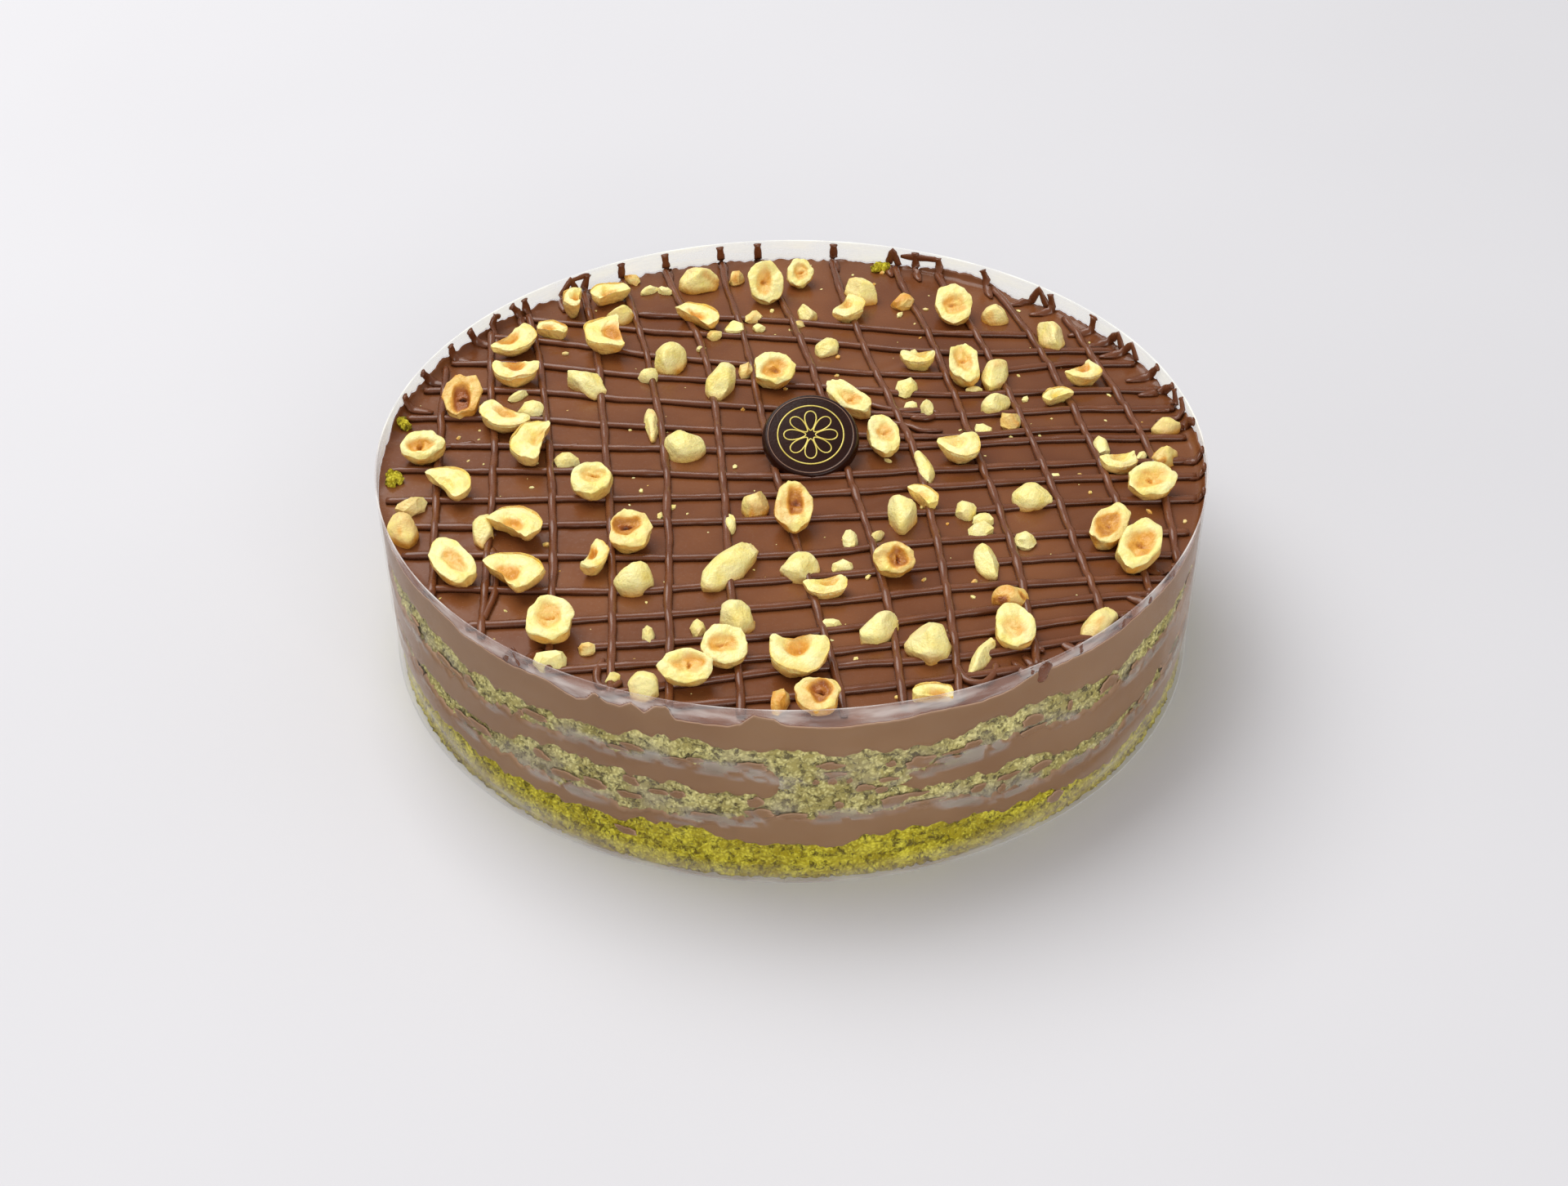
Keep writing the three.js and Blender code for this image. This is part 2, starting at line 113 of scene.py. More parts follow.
# Crosswise lines: ends in x, then y at x = -90, -45, 0, 45, 90
CROSSWISE_SPAN = 90
CROSSWISE_LINES = (
    (-50, 78, (84, 81.5, 77, 69.5, 68)), (-80, 97, (80, 71.5, 66, 58, 58)),
    (-92, 107, (68, 57, 48.5, 44, 50)), (-100, 108, (52.5, 44.5, 38.5, 33, 34.5)),
    (-110, 114, (36.5, 30.5, 25, 21, 24)), (-115, 116, (21, 16, 12, 9.5, 13.5)),
    (-103, 117, (6, 4, 3, 5, 8)), (-117, 117, (-7, -8.5, -11, -7.5, -4.5)),
    (-117, 117, (-22, -21.5, -20, -16, -12.5)), (-112, 116, (-35, -33.8, -32, -28.8, -24)),
    (-110, 108, (-48.5, -50, -49, -42.5, -39.5)), (-99, 106, (-63.5, -65, -60, -54, -50)),
    (-80, 99, (-80, -76.5, -71.5, -64.5, -61)), (-56, 92, (-92, -88, -84, -75.5, -68)),
    (-56, 79, (-102, -96.5, -93, -85, -76)), (-32, 76, (-112, -107, -98.5, -93.5, -84)),
    (-21, 60, (-118, -114, -109, -101.5, -92)),
)
# How far from the axis a line on the cream goes
LINE_REACH = 118.4
# Strands that hang on the film: azimuths from the cream up to the rim, and down again
STRANDS = (
    (167.1, 167.3), (159.5, 160.8), (152.4, 152.6), (146.8, 147.8), (142.9, 141.7), (137.2, 138.4),
    (135.6, 135.8), (129.1, 126.8, 125.7), (124.6, 123.7), (117.8, 117.7), (110.1, 110.3), (101, 101.2),
    (95, 95.1), (82.8, 82.8), (73.9, 73.1, 72.1), (69.2, 69.4), (65.2, 65.6), (56.8, 57.8),
    (48.8, 47.3, 45.5), (44.4, 45.1), (36.1, 36.0), (32.0, 30.2, 29.0), (28.5, 26.7, 25.1), (20.9, 19.4),
    (16.7, 14.2), (12.1, 13.6), (9.4, 10.9), (6.8, 4.6), (-2.2, -2.7), (-6.1, -6.8), (-11.7, -12.6),
    (-30.5, -30.2), (-37.3, -37.7), (-43.6, -43.4), (-51.5, -51.8), (-57.6, -57.4), (-59.4, -59.6),
    (-126, -127.2, -128.6),
)
# Chocolate drawn along the film under its rim: azimuths, heights, half its width
RIM_SMEARS = (
    (-57.9, -57.3, 52.9, 59.0, 2.2), (71.8, 65.4, 57.4, 58.6, 1.1), (127, 123.4, 58.8, 59, 0.85),
    (36.9, 35.2, 59.2, 59, 0.6), (118.4, 117.2, 59.2, 59.1, 0.6), (141.9, 140.9, 59.0, 57.4, 0.8),
)
# Short strokes that leave the lattice, as points in plan
LOOSE_STROKES = (
    ((-82.5, -45), (-80.6, -55), (-80, -66), (-81.5, -76), (-82.5, -79.5)),
    ((-49, -94), (-50.5, -99), (-49.5, -104), (-46.5, -105.5), (-44, -103)),
    ((24, 27), (28, 25), (34, 23.5), (40, 24), (44, 22), (41, 19.5), (36, 20)),
    ((26, 20), (30, 17), (35, 15.5), (39, 13), (45, 12.5)),
    ((-104, 5), (-99, 6.2), (-93, 7.5)),
    ((-69, 5.2), (-66, 4.6), (-62.5, 5)),
    ((42, -97), (44, -103), (48, -104.5), (51, -101), (52, -97)),
    ((60, -80), (62, -88), (65, -92)),
)

# Hazelnut pieces: kind, length, width, height, turn from +X, lean towards the viewer, how toasted,
# and the share of its width that the hollow takes
HAZELNUTS = (
    ("dome", 13.5, 9, 7.3, 0, 0, 0.35, 0), ("half", 15.5, 11.7, 7, 90, 38, 0.5, 0.45),
    ("half", 10.5, 9, 6, 90, 30, 0.4, 0.5), ("wedge", 15.5, 9, 5.5, -42, 0, 0.45, 0),
    ("wedge", 12.5, 8.5, 5.5, 32, 0, 0.3, 0), ("wedge", 17, 9.5, 6, 235, 0, 0.4, 0),
    ("wedge", 14.5, 9.5, 6.5, 180, 0, 0.5, 0), ("half", 15, 12.5, 7, 90, 24, 1, 0.8),
    ("wedge", 17, 9.5, 6, 145, 0, 0.25, 0), ("wedge", 20, 10.5, 7, 85, 0, 0.15, 0),
    ("half", 13, 10.5, 8, 0, 20, 0.55, 0.6), ("dome", 17, 8.5, 6.5, -50, 0, 0.05, 0),
    ("wedge", 18, 12, 7, 102, 0, 0.5, 0), ("dome", 14, 9.5, 8, 75, 0, 0.1, 0),
    ("dome", 18, 9, 7, 78, 0, 0.05, 0), ("half", 13.5, 13, 7, 90, 15, 0.5, 0.5),
    ("dome", 12.5, 12.5, 7, 0, 0, 0, 0), ("dome", 13, 9, 7, -50, 0, 0.3, 0),
    ("wedge", 14, 8.5, 5, 245, 0, 0.25, 0), ("half", 15.5, 12, 7, 92, 22, 0.55, 0.45),
    ("dome", 16, 8, 6.5, 102, 0, 0.25, 0), ("half", 15, 9.5, 8, 96, 18, 0.45, 0.55),
    ("dome", 16, 8, 7, 72, 0, 0.2, 0), ("half", 18.5, 8.5, 6.5, -48, 10, 0.4, 0.45),
    ("half", 15.5, 9.5, 7, 97, 15, 0.35, 0.35), ("wedge", 12.5, 11, 7, 195, 0, 0.05, 0),
    ("half", 14.5, 13, 7, 30, 12, 0.55, 0.5), ("half", 16.5, 10, 7, 60, 10, 0.75, 0.35),
    ("half", 19, 11.5, 8, 62, 12, 0.6, 0.6), ("dome", 11, 10, 5.5, 20, 0, 0, 0),
    ("dome", 17, 8.5, 7, 86, 0, 0.1, 0), ("half", 17, 11.2, 8, 92, 18, 0.85, 0.5),
    ("half", 11.5, 9.5, 8, 0, 30, 0.9, 0.6), ("dome", 11, 10, 5.5, 60, 0, 0, 0),
    ("dome", 14, 7, 5, 100, 0, 0, 0), ("half", 15, 10.5, 6, 88, 12, 0.3, 0.3),
    ("dome", 14, 8, 6, 50, 0, 0.05, 0), ("dome", 14, 12.5, 8, 90, 0, 0.1, 0),
    ("wedge", 15.5, 12.5, 7.5, 180, 12, 0.45, 0), ("half", 11, 11.8, 7, 90, 12, 0.85, 0.6),
    ("half", 12.5, 12, 7.5, 90, 15, 0.35, 0.55), ("wedge", 16, 9.5, 6, -50, 0, 0.05, 0),
    ("dome", 13, 8.5, 7, 105, 0, 0.6, 0), ("wedge", 16, 11, 6, -35, 0, 0.4, 0),
    ("half", 13.5, 12, 7.5, 90, 15, 0.8, 0.5), ("half", 19, 10.5, 7, -58, 8, 0.35, 0.3),
    ("wedge", 17, 12.5, 6.5, -50, 0, 0.5, 0), ("dome", 11.5, 11, 7.5, 90, 0, 0, 0),
    ("half", 15, 13, 7.5, 90, 12, 0.4, 0.5), ("dome", 23, 9.5, 6.5, 52, 0, 0.1, 0),
    ("half", 12.5, 12.3, 7, 90, 15, 0.5, 0.4), ("half", 14.5, 10.5, 7, 0, 20, 0.5, 0.55),
)

# Smaller pieces pressed into the cream: kind, x, y, length, width, height, turn, how toasted
SMALL_PIECES = (
    ("wedge", -70, 84, 11.5, 6, 8, 90, 0.3), ("dome", -54.5, 79.5, 9, 7.5, 6, 20, 0.5),
    ("wedge", -75, 69, 11, 6, 6, -25, 0.3), ("dome", -41.5, 16, 18, 4.5, 4, 95, 0.3),
    ("dome", 66, 78.5, 9, 8, 6, 0, 0.35), ("dome", 5.5, 81, 9, 6, 5, 110, 0.2),
    ("dome", 11.6, 60, 10.5, 7.5, 4.5, 75, 0), ("wedge", 39.5, 49, 11, 6.5, 6, 180, 0.1),
    ("wedge", 90.5, 39.5, 11, 8, 6, 220, 0.4), ("wedge", 80.3, 29, 10, 6, 5, 25, 0),
    ("dome", 61.5, 25.5, 11, 7, 6, 50, 0.1), ("dome", 111, 13, 9.5, 7.5, 5.5, 30, 0.5),
    ("dome", 108.5, -3.5, 11, 7, 6, 60, 0.6), ("dome", 38.5, -7, 17, 5, 4, 100, 0.05),
    ("wedge", 95, -8.5, 11, 7, 5.5, 190, 0.1), ("wedge", 37.8, -24.2, 11, 5.5, 5.5, -55, 0.1),
    ("dome", -10.3, -27, 10, 8, 6.5, 90, 0.5), ("wedge", 9.3, -67, 12, 7, 5.5, 195, 0.3),
    ("dome", 58, -70.5, 10, 8, 6, 0, 0.9), ("dome", 48.7, -94, 17, 4.5, 4, 65, 0.1),
    ("wedge", 35, -110, 10.5, 6, 5, 0, 0.3), ("dome", 80, -81.3, 14, 6.5, 5, 50, 0.3),
    ("dome", -86, -37.7, 15, 6, 6, 97, 0.15), ("wedge", -53, -53, 12.5, 6, 6, 255, 0.4),
    ("dome", -15, -78.5, 12, 9, 7, -60, 0.05), ("dome", -38, -106.5, 8.5, 8, 6, 90, 0.1),
)

# Chips: x, y, length, width, height, turn, how toasted
CHIPS = (
    (-17.5, 104, 6, 5, 4, 60, 0.5), (-78, 24, 8.5, 7, 4, 20, 0), (-43.5, 43.5, 6, 5, 4, 10, 0.1),
    (-13.5, 46, 7, 4.5, 3.5, 80, 0.3), (-17.5, 71, 7, 6.5, 4, 0, 0), (-65.5, -3, 7.5, 6, 3.5, 0, 0),
    (37, 87, 7.5, 6, 4.5, 10, 0.6), (35.5, 35.5, 8, 6.5, 4, 65, 0), (41, 24, 8, 4.5, 4, 95, 0),
    (65.5, 16, 7, 6.5, 4.5, 90, 0.4), (91, 3, 9, 4.5, 3.5, 100, 0), (49, -29, 7.5, 6, 4, 110, 0.1),
    (52.5, -39, 8, 6, 4, 30, 0), (64.5, -43.5, 6.5, 6.5, 3.5, 0, 0), (16, -43, 7.5, 4.5, 3.5, 90, 0),
    (-107.5, -26.5, 9, 6, 4.5, 20, 0.2), (-62.5, -95.5, 9, 7, 4.5, 0, 0),
    (-3.5, -112, 9, 4.5, 4.5, 75, 0.6), (-24, 68, 5, 4, 3, 0, 0.4), (-11.5, 79, 6, 5, 3, 30, 0.3),
    (-9.8, 73, 4, 4, 2, 0, 0), (-83, 33, 7, 3, 2.5, 40, 0), (-91.5, 29, 3.5, 3, 2, 0, 0),
    (53, 95, 4.5, 4, 2.5, 0, 0.2), (38.5, 54.5, 6, 3.5, 3, 80, 0), (3, 75.5, 4, 3, 2, 0, 0.3),
    (56, 34.5, 5.5, 3.5, 2.5, 0, 0.2), (57, 13, 6, 5, 2.5, 140, 0), (36.5, 26.5, 4, 4, 2, 0, 0),
    (102, -2, 6, 3, 2.5, 60, 0), (53.5, -33.5, 6, 5, 3, 0, 0), (-17.3, -35, 8, 3.5, 3, 95, 0),
    (13.5, -55, 6.5, 4.5, 3, 0, 0), (10, -80, 5.5, 4, 2.5, 0, 0), (-25, -82, 7, 4, 3, 95, 0.2),
    (-37.8, -84.5, 8, 3, 3, 95, 0.1), (-53.5, -90, 4.5, 4, 3, 0, 0.4), (23.5, -41, 5, 3, 2.5, 40, 0.2),
    (-46, -102, 4.5, 3.5, 3, 70, 0), (-46, 97, 6, 2.5, 2.5, 30, 0), (-41, 97, 5, 3, 2.5, -20, 0.1),
    (-52, 104, 6, 4, 3, -30, 0.5), (-28, 60, 3, 2, 2, 0, 0), (76, -12, 3.5, 2.5, 2, 0, 0),
)
# Crumbs of the green sponge on the cream: x, y
GREEN_CRUMBS = ((-116.5, 18), (-115, 16.5), (-115.5, -10), (-113.5, -11.5), (-115, -13), (30, 112),
                (32, 111.5), (29, 110.8))

# The medallion, and the dab of cream that it leans on
MEDALLION_RADIUS = 14.2
MEDALLION_THICKNESS = 3.0
MEDALLION_TILT = 27.5
MEDALLION_PLACE = (5.7, 1.1)
MEDALLION_SUNK = 1.2
DAB_PLACE = (5.7, 8.0)
DAB_SIZE = (11, 9, 13)


# ---------------------------------------------------------------- camera, light and floor

CAMERA_PLACE = (-2.3, -523.57, 410.94)
CAMERA_AIM = (-2.3, -72.49, 60)
CAMERA_ROLL = -0.317
LENS = 49.61
SENSOR = 36
ROOM_STRENGTH = 0.455
FLOOR_HALF_WIDTH = 3000
FLOOR_STEPS = 24

scene = bpy.context.scene
scene.view_settings.view_transform = "Standard"


def facing(place, aim, roll=0.0):
    """The matrix of a camera or a lamp at a place that looks at another."""
    ahead = (Vector(aim) - Vector(place)).normalized()
    turn = ahead.to_track_quat("-Z", "Y").to_matrix().to_4x4()
    spin = Matrix.Rotation(math.radians(roll), 4, "Z")
    return Matrix.Translation(Vector(place) * MM) @ turn @ spin


def camera():
    """The view of the cake, from above its front."""
    lens = bpy.data.cameras.new("view")
    lens.sensor_fit = "HORIZONTAL"
    lens.sensor_width = SENSOR
    lens.lens = LENS
    lens.clip_start = 0.01
    view = bpy.data.objects.new("view", lens)
    view.matrix_world = facing(CAMERA_PLACE, CAMERA_AIM, CAMERA_ROLL)
    scene.collection.objects.link(view)
    scene.camera = view


def soft_box(name, place, aim, size, power, colour):
    """A broad soft lamp."""
    lamp = bpy.data.lights.new(name, "AREA")
    lamp.shape = "RECTANGLE"
    lamp.size, lamp.size_y = (side * MM for side in size)
    lamp.energy = power
    lamp.color = colour
    box = bpy.data.objects.new(name, lamp)
    box.matrix_world = facing(place, aim)
    scene.collection.objects.link(box)


def room_light(colour, strength):
    """Light from all round."""
    world = bpy.data.worlds.new("room")
    world.use_nodes = True
    backdrop = world.node_tree.nodes["Background"]
    backdrop.inputs["Color"].default_value = (*colour, 1)
    backdrop.inputs["Strength"].default_value = strength
    scene.world = world


camera()
room_light((1.0, 0.985, 0.97), ROOM_STRENGTH)
soft_box("left_window", place=(-750, 800, 1850), aim=(0, 0, 40), size=(1700, 1700), power=39,
         colour=(1.0, 0.99, 0.97))
soft_box("front_fill", place=(500, -1500, 800), aim=(0, 0, 20), size=(1200, 700), power=9,
         colour=(1.0, 0.97, 0.94))


# ---------------------------------------------------------------- shader helpers

def feed(tree, node, values):
    """Gives a node's sockets their values: each a plain value or another node's output."""
    for socket, value in values.items():
        if isinstance(value, bpy.types.NodeSocket):
            tree.links.new(value, node.inputs[socket])
        else:
            node.inputs[socket].default_value = value


def add(tree, kind, inputs=None, **settings):
    """A shader node with its settings and the values of its sockets."""
    node = tree.nodes.new(kind)
    for name, value in settings.items():
        setattr(node, name, value)
    feed(tree, node, inputs or {})
    return node


def blend(tree, share, first, second):
    """The colour between two, by a share."""
    mixer = add(tree, "ShaderNodeMix", {0: share, 6: first, 7: second}, data_type="RGBA")
    return mixer.outputs[2]


def math_of(tree, operation, first, second):
    return add(tree, "ShaderNodeMath", {0: first, 1: second}, operation=operation).outputs[0]


def fitted(tree, value, low, high, to_low=0.0, to_high=1.0):
    """A value's range moved to another, and held inside it."""
    inputs = {"Value": value, "From Min": low, "From Max": high, "To Min": to_low, "To Max": to_high}
    return add(tree, "ShaderNodeMapRange", inputs).outputs["Result"]


def mottle(tree, place, scale, detail, roughness=0.5):
    """The outputs of a noise texture at a place."""
    inputs = {"Vector": place, "Scale": scale, "Detail": detail, "Roughness": roughness}
    return add(tree, "ShaderNodeTexNoise", inputs).outputs


def measure(tree, name):
    """A measure that the shape carries at each vertex."""
    return add(tree, "ShaderNodeAttribute", attribute_name=name).outputs["Fac"]


def new_material(name):
    material = bpy.data.materials.new(name)
    material.use_nodes = True
    tree = material.node_tree
    return material, tree, tree.nodes["Principled BSDF"]


def rgb(red, green, blue):
    """A colour as a screen shows it, from 0 to 255, as the shader's linear colour."""
    def linear(value):
        value /= 255
        return value / 12.92 if value <= 0.04045 else ((value + 0.055) / 1.055) ** 2.4
    return (linear(red), linear(green), linear(blue), 1)


def new_group(name, inputs, outputs):
    """A node group with its inputs and outputs, each a number."""
    group = bpy.data.node_groups.new(name, "ShaderNodeTree")
    for label, value in inputs.items():
        socket = group.interface.new_socket(label, in_out="INPUT", socket_type="NodeSocketFloat")
        socket.default_value = value
    for label in outputs:
        group.interface.new_socket(label, in_out="OUTPUT", socket_type="NodeSocketFloat")
    return group, add(group, "NodeGroupInput"), add(group, "NodeGroupOutput")


def uneven_group():
    """Soft patches and fine grain: what makes cream, nut or chocolate look handled."""
    group, given, out = new_group("uneven", {"Patch Scale": 30, "Grain Scale": 400}, ("Patches", "Grain"))
    place = add(group, "ShaderNodeTexCoord").outputs["Object"]
    patches = mottle(group, place, given.outputs["Patch Scale"], detail=3.0, roughness=0.55)["Fac"]
    grain = mottle(group, place, given.outputs["Grain Scale"], detail=2.0, roughness=0.6)["Fac"]
    feed(group, out, {"Patches": fitted(group, patches, 0.3, 0.7), "Grain": fitted(group, grain, 0.25, 0.75)})
    return group


# How far the crumb's grains are bent out of their even cells, in metres
CRUMB_BEND = (0.0022, 0.0022, 0.0022)


def crumb_group():
    """Sponge crumb: pale grains, dark pores between them painted as shade in the holes, and patches for a
    grey painted reflection of the film.
    """
    group, given, out = new_group("crumb", {"Scale": 700}, ("Grains", "Pores", "Tone", "Smears"))
    place = add(group, "ShaderNodeTexCoord").outputs["Object"]
    bent = mottle(group, place, 330.0, detail=2.0)["Color"]
    shifted = add(group, "ShaderNodeVectorMath", {0: bent, 1: CRUMB_BEND}, operation="MULTIPLY").outputs[0]
    moved = add(group, "ShaderNodeVectorMath", {0: place, 1: shifted}, operation="ADD").outputs[0]
    cells = {"Vector": moved, "Scale": given.outputs["Scale"]}
    grains = add(group, "ShaderNodeTexVoronoi", cells).outputs["Distance"]
    pores = mottle(group, moved, 480.0, detail=4.0, roughness=0.7)["Fac"]
    tone = mottle(group, place, 130.0, detail=5.0, roughness=0.65)["Fac"]
    smears = mottle(group, place, 60.0, detail=3.0, roughness=0.55)["Fac"]
    feed(group, out, {
        "Grains": fitted(group, grains, 0.1, 0.7, 1, 0),
        "Pores": fitted(group, pores, 0.52, 0.64),
        "Tone": fitted(group, tone, 0.35, 0.65),
        "Smears": fitted(group, smears, 0.45, 0.6),
    })
    return group


UNEVEN = uneven_group()
CRUMB = crumb_group()


def uneven(tree, patch_scale, grain_scale):
    inputs = {"Patch Scale": patch_scale, "Grain Scale": grain_scale}
    node = add(tree, "ShaderNodeGroup", inputs, node_tree=UNEVEN)
    return node.outputs["Patches"], node.outputs["Grain"]


def roughen(tree, shader, height, distance, strength):
    """Bump on a shader, its distance in metres."""
    bump = add(tree, "ShaderNodeBump", {"Height": height, "Distance": distance, "Strength": strength})
    feed(tree, shader, {"Normal": bump.outputs["Normal"]})


def cream_finish(name, light, dark, roughness, patch_scale, shine, edge=None):
    """Chocolate cream: two tones in soft patches, a satin skin with fine grain, and a given edge colour that
    paints shade at the piped lines' foot and a highlight along the pressed cream's edges.
    """
    material, tree, shader = new_material(name)
    patches, grain = uneven(tree, patch_scale, 900)
    colour = blend(tree, patches, dark, light)
    # The edge colour: painted shade on the piped lines, painted highlight on the pressed cream
    if edge:
        colour = blend(tree, measure(tree, "edge"), colour, edge)
    feed(tree, shader, {
        "Base Color": colour,
        "Roughness": fitted(tree, grain, 0, 1, roughness - 0.05, roughness + 0.08),
        "Specular IOR Level": shine,
    })
    roughen(tree, shader, math_of(tree, "MULTIPLY", grain, 0.3), distance=0.0001, strength=0.25)
    return material


def sponge_finish(name, grain_colour, ground_colour, pore_colour, film_reflection_colour, film_reflection_amount):
    """Crumb with pores in it, painted dark as shade, and a painted reflection of the film, more over its low
    edge than its high one.
    """
    material, tree, shader = new_material(name)
    crumb = add(tree, "ShaderNodeGroup", {"Scale": 950}, node_tree=CRUMB).outputs
    grains, pores, tone, smears = (crumb[label] for label in ("Grains", "Pores", "Tone", "Smears"))
    lit = math_of(tree, "ADD", math_of(tree, "MULTIPLY", grains, 0.55), math_of(tree, "MULTIPLY", tone, 0.5))
    colour = blend(tree, fitted(tree, lit, 0.25, 0.8), ground_colour, grain_colour)
    # Painted shade: the crumb's pores darkened as shade falls in them
    colour = blend(tree, math_of(tree, "MULTIPLY", pores, 0.9), colour, pore_colour)
    # Painted reflection of the film, more over the sponge's low edge
    low = fitted(tree, measure(tree, "share"), 0.1, 0.75, 1, 0.25)
    veil = math_of(tree, "MULTIPLY", math_of(tree, "MULTIPLY", smears, low), film_reflection_amount)
    colour = blend(tree, veil, colour, film_reflection_colour)
    feed(tree, shader, {"Base Color": colour, "Roughness": 0.8, "Specular IOR Level": 0.25})
    relief = math_of(tree, "SUBTRACT", grains, math_of(tree, "MULTIPLY", pores, 1.5))
    roughen(tree, shader, relief, distance=0.0005, strength=0.7)
    return material


# A nut's colours as it is toasted, also used for painted shade on its lower sides: the measure where each
# starts and is reached, and the colour
TOASTED_AND_SHADED = ((0.08, 0.42, rgb(232, 169, 68)), (0.42, 0.8, rgb(160, 86, 18)), (0.8, 1.15, rgb(84, 36, 12)))


def nut_finish():
    """Hazelnut flesh: pale, toasted darker and painted darker as shade on its lower sides where its measure
    says, and a little see-through.
    """
    material, tree, shader = new_material("hazelnut_flesh")
    patches, grain = uneven(tree, 160, 800)
    colour = blend(tree, patches, rgb(253, 231, 130), rgb(255, 248, 184))
    toasted_and_shaded = math_of(tree, "ADD", measure(tree, "toast"), fitted(tree, patches, 0, 1, -0.1, 0.13))
    for start, reached, darker in TOASTED_AND_SHADED:
        colour = blend(tree, fitted(tree, toasted_and_shaded, start, reached), colour, darker)
    feed(tree, shader, {
        "Base Color": colour,
        "Roughness": fitted(tree, grain, 0, 1, 0.34, 0.52),
        "Specular IOR Level": 0.5,
        "Subsurface Weight": 0.08,
        "Subsurface Radius": (0.9, 0.6, 0.2),
        "Subsurface Scale": 0.0015,
    })
    relief = math_of(tree, "ADD", math_of(tree, "MULTIPLY", patches, 0.8), grain)
    roughen(tree, shader, relief, distance=0.0004, strength=0.6)
    return material


def film_finish():
    """Clear film: it shows at a slant and where fat has dried on it; its milky colour streaked with white is
    painted reflection, grey where air lies behind it, and an emitted glow is painted light from behind.
    """
    material, tree, shader = new_material("clear_film")
    patches, _ = uneven(tree, 55, 220)
    place = add(tree, "ShaderNodeTexCoord").outputs["Object"]
    drawn = add(tree, "ShaderNodeMapping", {"Vector": place, "Scale": (1, 1, 4)}).outputs["Vector"]
    reflection_streaks = mottle(tree, drawn, 60.0, detail=3.0)["Fac"]
    air_gap_reflection, veil = measure(tree, "air_gap_reflection"), measure(tree, "veil")
    # Painted reflection: the film's milky colour, streaked with white where it catches the light
    milky_reflection = blend(tree, fitted(tree, reflection_streaks, 0.4, 0.62), rgb(204, 184, 180), rgb(250, 244, 240))
    # Painted light from behind: the veil is whiter towards the back
    milky_reflection = blend(tree, fitted(tree, veil, 1, 1.9), milky_reflection, rgb(252, 253, 244))
    # Painted glow: emission stands in for light from behind shining through the dried fat
    painted_glow = blend(tree, fitted(tree, veil, 1.1, 1.9), rgb(0, 0, 0), rgb(248, 252, 232))
    slant = add(tree, "ShaderNodeLayerWeight", {"Blend": 0.3}).outputs["Facing"]
    clear = fitted(tree, slant, 0.55, 1, 0.01, 0.5)
    dried = math_of(tree, "MULTIPLY", fitted(tree, veil, 0, 1), fitted(tree, reflection_streaks, 0.4, 0.66, 0.24, 0.55))
    # Painted reflection: a grey haze where air lies behind the film
    air_gap_alpha = math_of(tree, "MULTIPLY", air_gap_reflection, fitted(tree, reflection_streaks, 0.35, 0.65, 0.4, 0.7))
    alpha = math_of(tree, "ADD", math_of(tree, "ADD", clear, dried), air_gap_alpha)
    feed(tree, shader, {
        "Base Color": blend(tree, air_gap_reflection, milky_reflection, rgb(178, 168, 154)),
        "Emission Color": painted_glow,
        "Emission Strength": 0.4,
        "Roughness": 0.06,
        "Specular IOR Level": 0.25,
        "Alpha": fitted(tree, alpha, 0, 1),
    })
    roughen(tree, shader, patches, distance=0.0002, strength=0.15)
    return material


def dark_chocolate():
    """Glossy chocolate with a light line where its edge catches the light."""
    material, tree, shader = new_material("dark_chocolate")
    patches, grain = uneven(tree, 60, 1500)
    colour = blend(tree, patches, rgb(34, 12, 6), rgb(46, 18, 9))
    feed(tree, shader, {
        "Base Color": blend(tree, measure(tree, "edge"), colour, rgb(150, 118, 100)),
        "Roughness": fitted(tree, patches, 0, 1, 0.2, 0.28),
        "Specular IOR Level": 0.22,
    })
    roughen(tree, shader, grain, distance=0.00005, strength=0.4)
    return material


def gold_print():
    material, tree, shader = new_material("gold_print")
    patches, _ = uneven(tree, 400, 1500)
    colour = blend(tree, patches, rgb(214, 190, 84), rgb(240, 224, 128))
    feed(tree, shader, {"Base Color": colour, "Metallic": 0.35, "Roughness": 0.4})
    return material


def pale_floor():
    material, tree, shader = new_material("pale_floor")
    patches, grain = uneven(tree, 2, 60)
    feed(tree, shader, {"Base Color": blend(tree, patches, rgb(213, 213, 218), rgb(218, 218, 223)),
                        "Roughness": 0.7})
    roughen(tree, shader, grain, distance=0.0002, strength=0.2)
    return material


SPREAD_CREAM = cream_finish("spread_cream", light=rgb(132, 80, 45), dark=rgb(104, 56, 28),
                            roughness=0.22, patch_scale=28, shine=0.33)
# Dark edge: painted shade at the foot of each piped line
PIPED_CHOCOLATE = cream_finish("piped_chocolate", light=rgb(122, 71, 42), dark=rgb(102, 55, 30),
                               roughness=0.24, patch_scale=90, shine=0.45, edge=rgb(56, 24, 10))
# Pale edge: painted highlight where the cream curves away from the film
PRESSED_CREAM = cream_finish("pressed_cream", light=rgb(149, 114, 80), dark=rgb(135, 99, 66),
                             roughness=0.4, patch_scale=30, shine=0.3, edge=rgb(236, 196, 166))
# The grey and the yellow laid over each sponge's low edge are painted reflection of the film
SPONGE = sponge_finish("sponge", grain_colour=rgb(248, 240, 164), ground_colour=rgb(176, 164, 96),
                       pore_colour=rgb(92, 80, 52), film_reflection_colour=rgb(170, 160, 148), film_reflection_amount=0.85)
LOW_SPONGE = sponge_finish("low_sponge", grain_colour=rgb(244, 234, 74), ground_colour=rgb(178, 162, 22),
                           pore_colour=rgb(94, 78, 8), film_reflection_colour=rgb(160, 140, 50), film_reflection_amount=0.35)
NUT = nut_finish()
CLEAR_FILM = film_finish()
DARK_CHOCOLATE = dark_chocolate()
GOLD_PRINT = gold_print()


